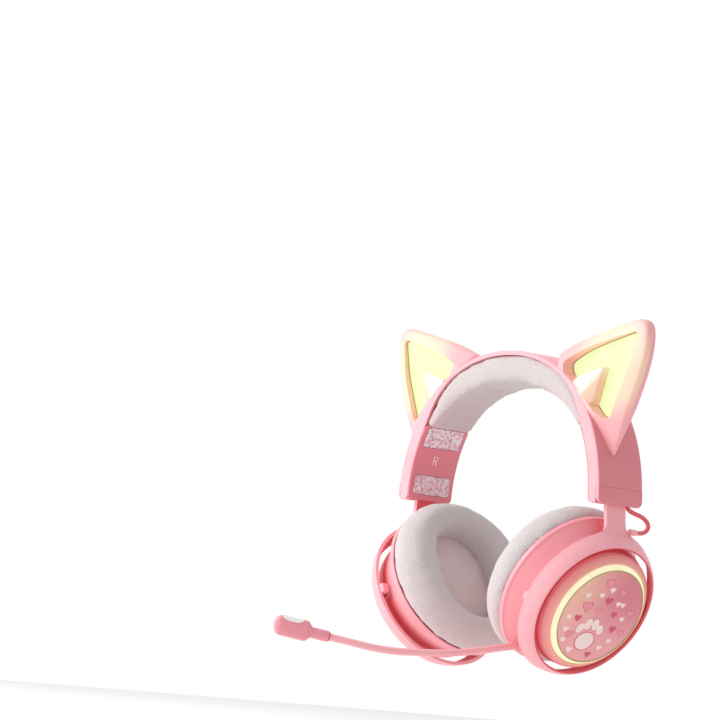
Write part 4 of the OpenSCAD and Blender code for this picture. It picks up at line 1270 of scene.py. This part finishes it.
# ---- Carried-over CAD nodes ----
CAD_SKINS = {
    "band_spring": STEEL, "band_screws": STEEL, "main_board": BOARD, "battery": CELL, "volume_wheel": LEG_IN,
    "power_button": CONTROL, "mute_button": CONTROL, "usb_port": STEEL, "audio_jack": BLACK,
    "mic_capsule": BLACK,
}
PAIR_SKINS = {
    "slider_strip": STEEL, "pivot_pins": STEEL, "baffle": BLACK, "driver": BLACK,
    "diaphragm": WHITE, "led_board": BOARD,
}


def finish_cad_nodes():
    skins = dict(CAD_SKINS)
    for stem, skin_material in PAIR_SKINS.items():
        for name in SIDES:
            skins[f"{stem}_{name}"] = skin_material
    for name, material in skins.items():
        obj = nodes[name]
        for slot in obj.material_slots:
            slot.material = material


# ---- Camera, light and floor ----


def camera():
    """Long lens from the wearer's front left, slightly below the cups, rolled as the photograph is."""
    data = bpy.data.cameras.new("camera")
    data.lens = 162.25
    data.sensor_width = 36
    data.clip_start = 0.05
    cam = bpy.data.objects.new("camera", data)
    bpy.context.scene.collection.objects.link(cam)
    yaw, pitch, roll = math.radians(50.45), math.radians(5.66), math.radians(4.95)
    forward = Vector((-math.sin(yaw) * math.cos(pitch), math.cos(yaw) * math.cos(pitch), math.sin(pitch)))
    right = Vector((math.cos(yaw), math.sin(yaw), 0))
    up = right.cross(forward)
    turned = math.cos(roll) * right + math.sin(roll) * up
    upright = -math.sin(roll) * right + math.cos(roll) * up
    turn = Matrix((turned, upright, -forward)).transposed()
    cam.matrix_world = Matrix.Translation((1.44107, -1.3214, -0.10882)) @ turn.to_4x4()
    bpy.context.scene.camera = cam


def area_light(name, place, target, size, watts, tint=(1, 1, 1)):
    data = bpy.data.lights.new(name, "AREA")
    data.size = size
    data.energy = watts
    data.color = tint
    lamp = bpy.data.objects.new(name, data)
    lamp.location = place
    lamp.rotation_euler = (Vector(target) - Vector(place)).to_track_quat("-Z", "Y").to_euler()
    bpy.context.scene.collection.objects.link(lamp)


def studio():
    """White surroundings for the camera, dimmer for the object, so that its sides keep their shading."""
    world = bpy.data.worlds.new("studio")
    bpy.context.scene.world = world
    bpy.context.scene.view_settings.view_transform = "Standard"
    world.use_nodes = True
    tree = world.node_tree
    background = tree.nodes["Background"]
    seen = tree.nodes.new("ShaderNodeLightPath").outputs["Is Camera Ray"]
    side = tree.nodes.new("ShaderNodeVectorMath")
    side.operation = "DOT_PRODUCT"
    side.inputs[1].default_value = (0.85, -0.1, -0.5)
    tree.links.new(tree.nodes.new("ShaderNodeTexCoord").outputs["Generated"], side.inputs[0])
    shade_side = tree.nodes.new("ShaderNodeMapRange")
    shade_side.inputs["From Min"].default_value = -0.9
    shade_side.inputs["From Max"].default_value = 0.9
    shade_side.inputs["To Min"].default_value = 1.05
    shade_side.inputs["To Max"].default_value = 0.42
    tree.links.new(side.outputs["Value"], shade_side.inputs["Value"])
    strength = tree.nodes.new("ShaderNodeMix")
    tree.links.new(seen, strength.inputs[0])
    tree.links.new(shade_side.outputs[0], strength.inputs[2])
    strength.inputs[3].default_value = 1.0
    tree.links.new(strength.outputs[0], background.inputs["Strength"])
    background.inputs["Color"].default_value = (1, 1, 1, 1)
    area_light("key", (-0.7, -1.3, 0.8), (0, 0, 0), 0.7, 15, (1.0, 0.97, 0.96))
    area_light("low", (-0.9, -0.9, -0.1), (0, 0, -0.05), 0.6, 3)
    mesh = bpy.data.meshes.new("floor")
    half, z = 1.6, -0.14
    corners = [(-half, -half, z), (half, -half, z), (half, half, z), (-half, half, z)]
    mesh.from_pydata(corners, [], [(0, 1, 2, 3)])
    floor = bpy.data.objects.new("floor", mesh)
    bpy.context.scene.collection.objects.link(floor)
    paper = Shader("paper", 0.9)
    paper.link(paper.blend(paper.noise(3), (0.93, 0.93, 0.93, 1), (0.95, 0.95, 0.95, 1)), "Base Color")
    mesh.materials.append(paper.material)


random.seed(7)
camera()
studio()
band()
legs()
head_pad()
ears()
yokes()
cups()
cables()
microphone()
finish_cad_nodes()
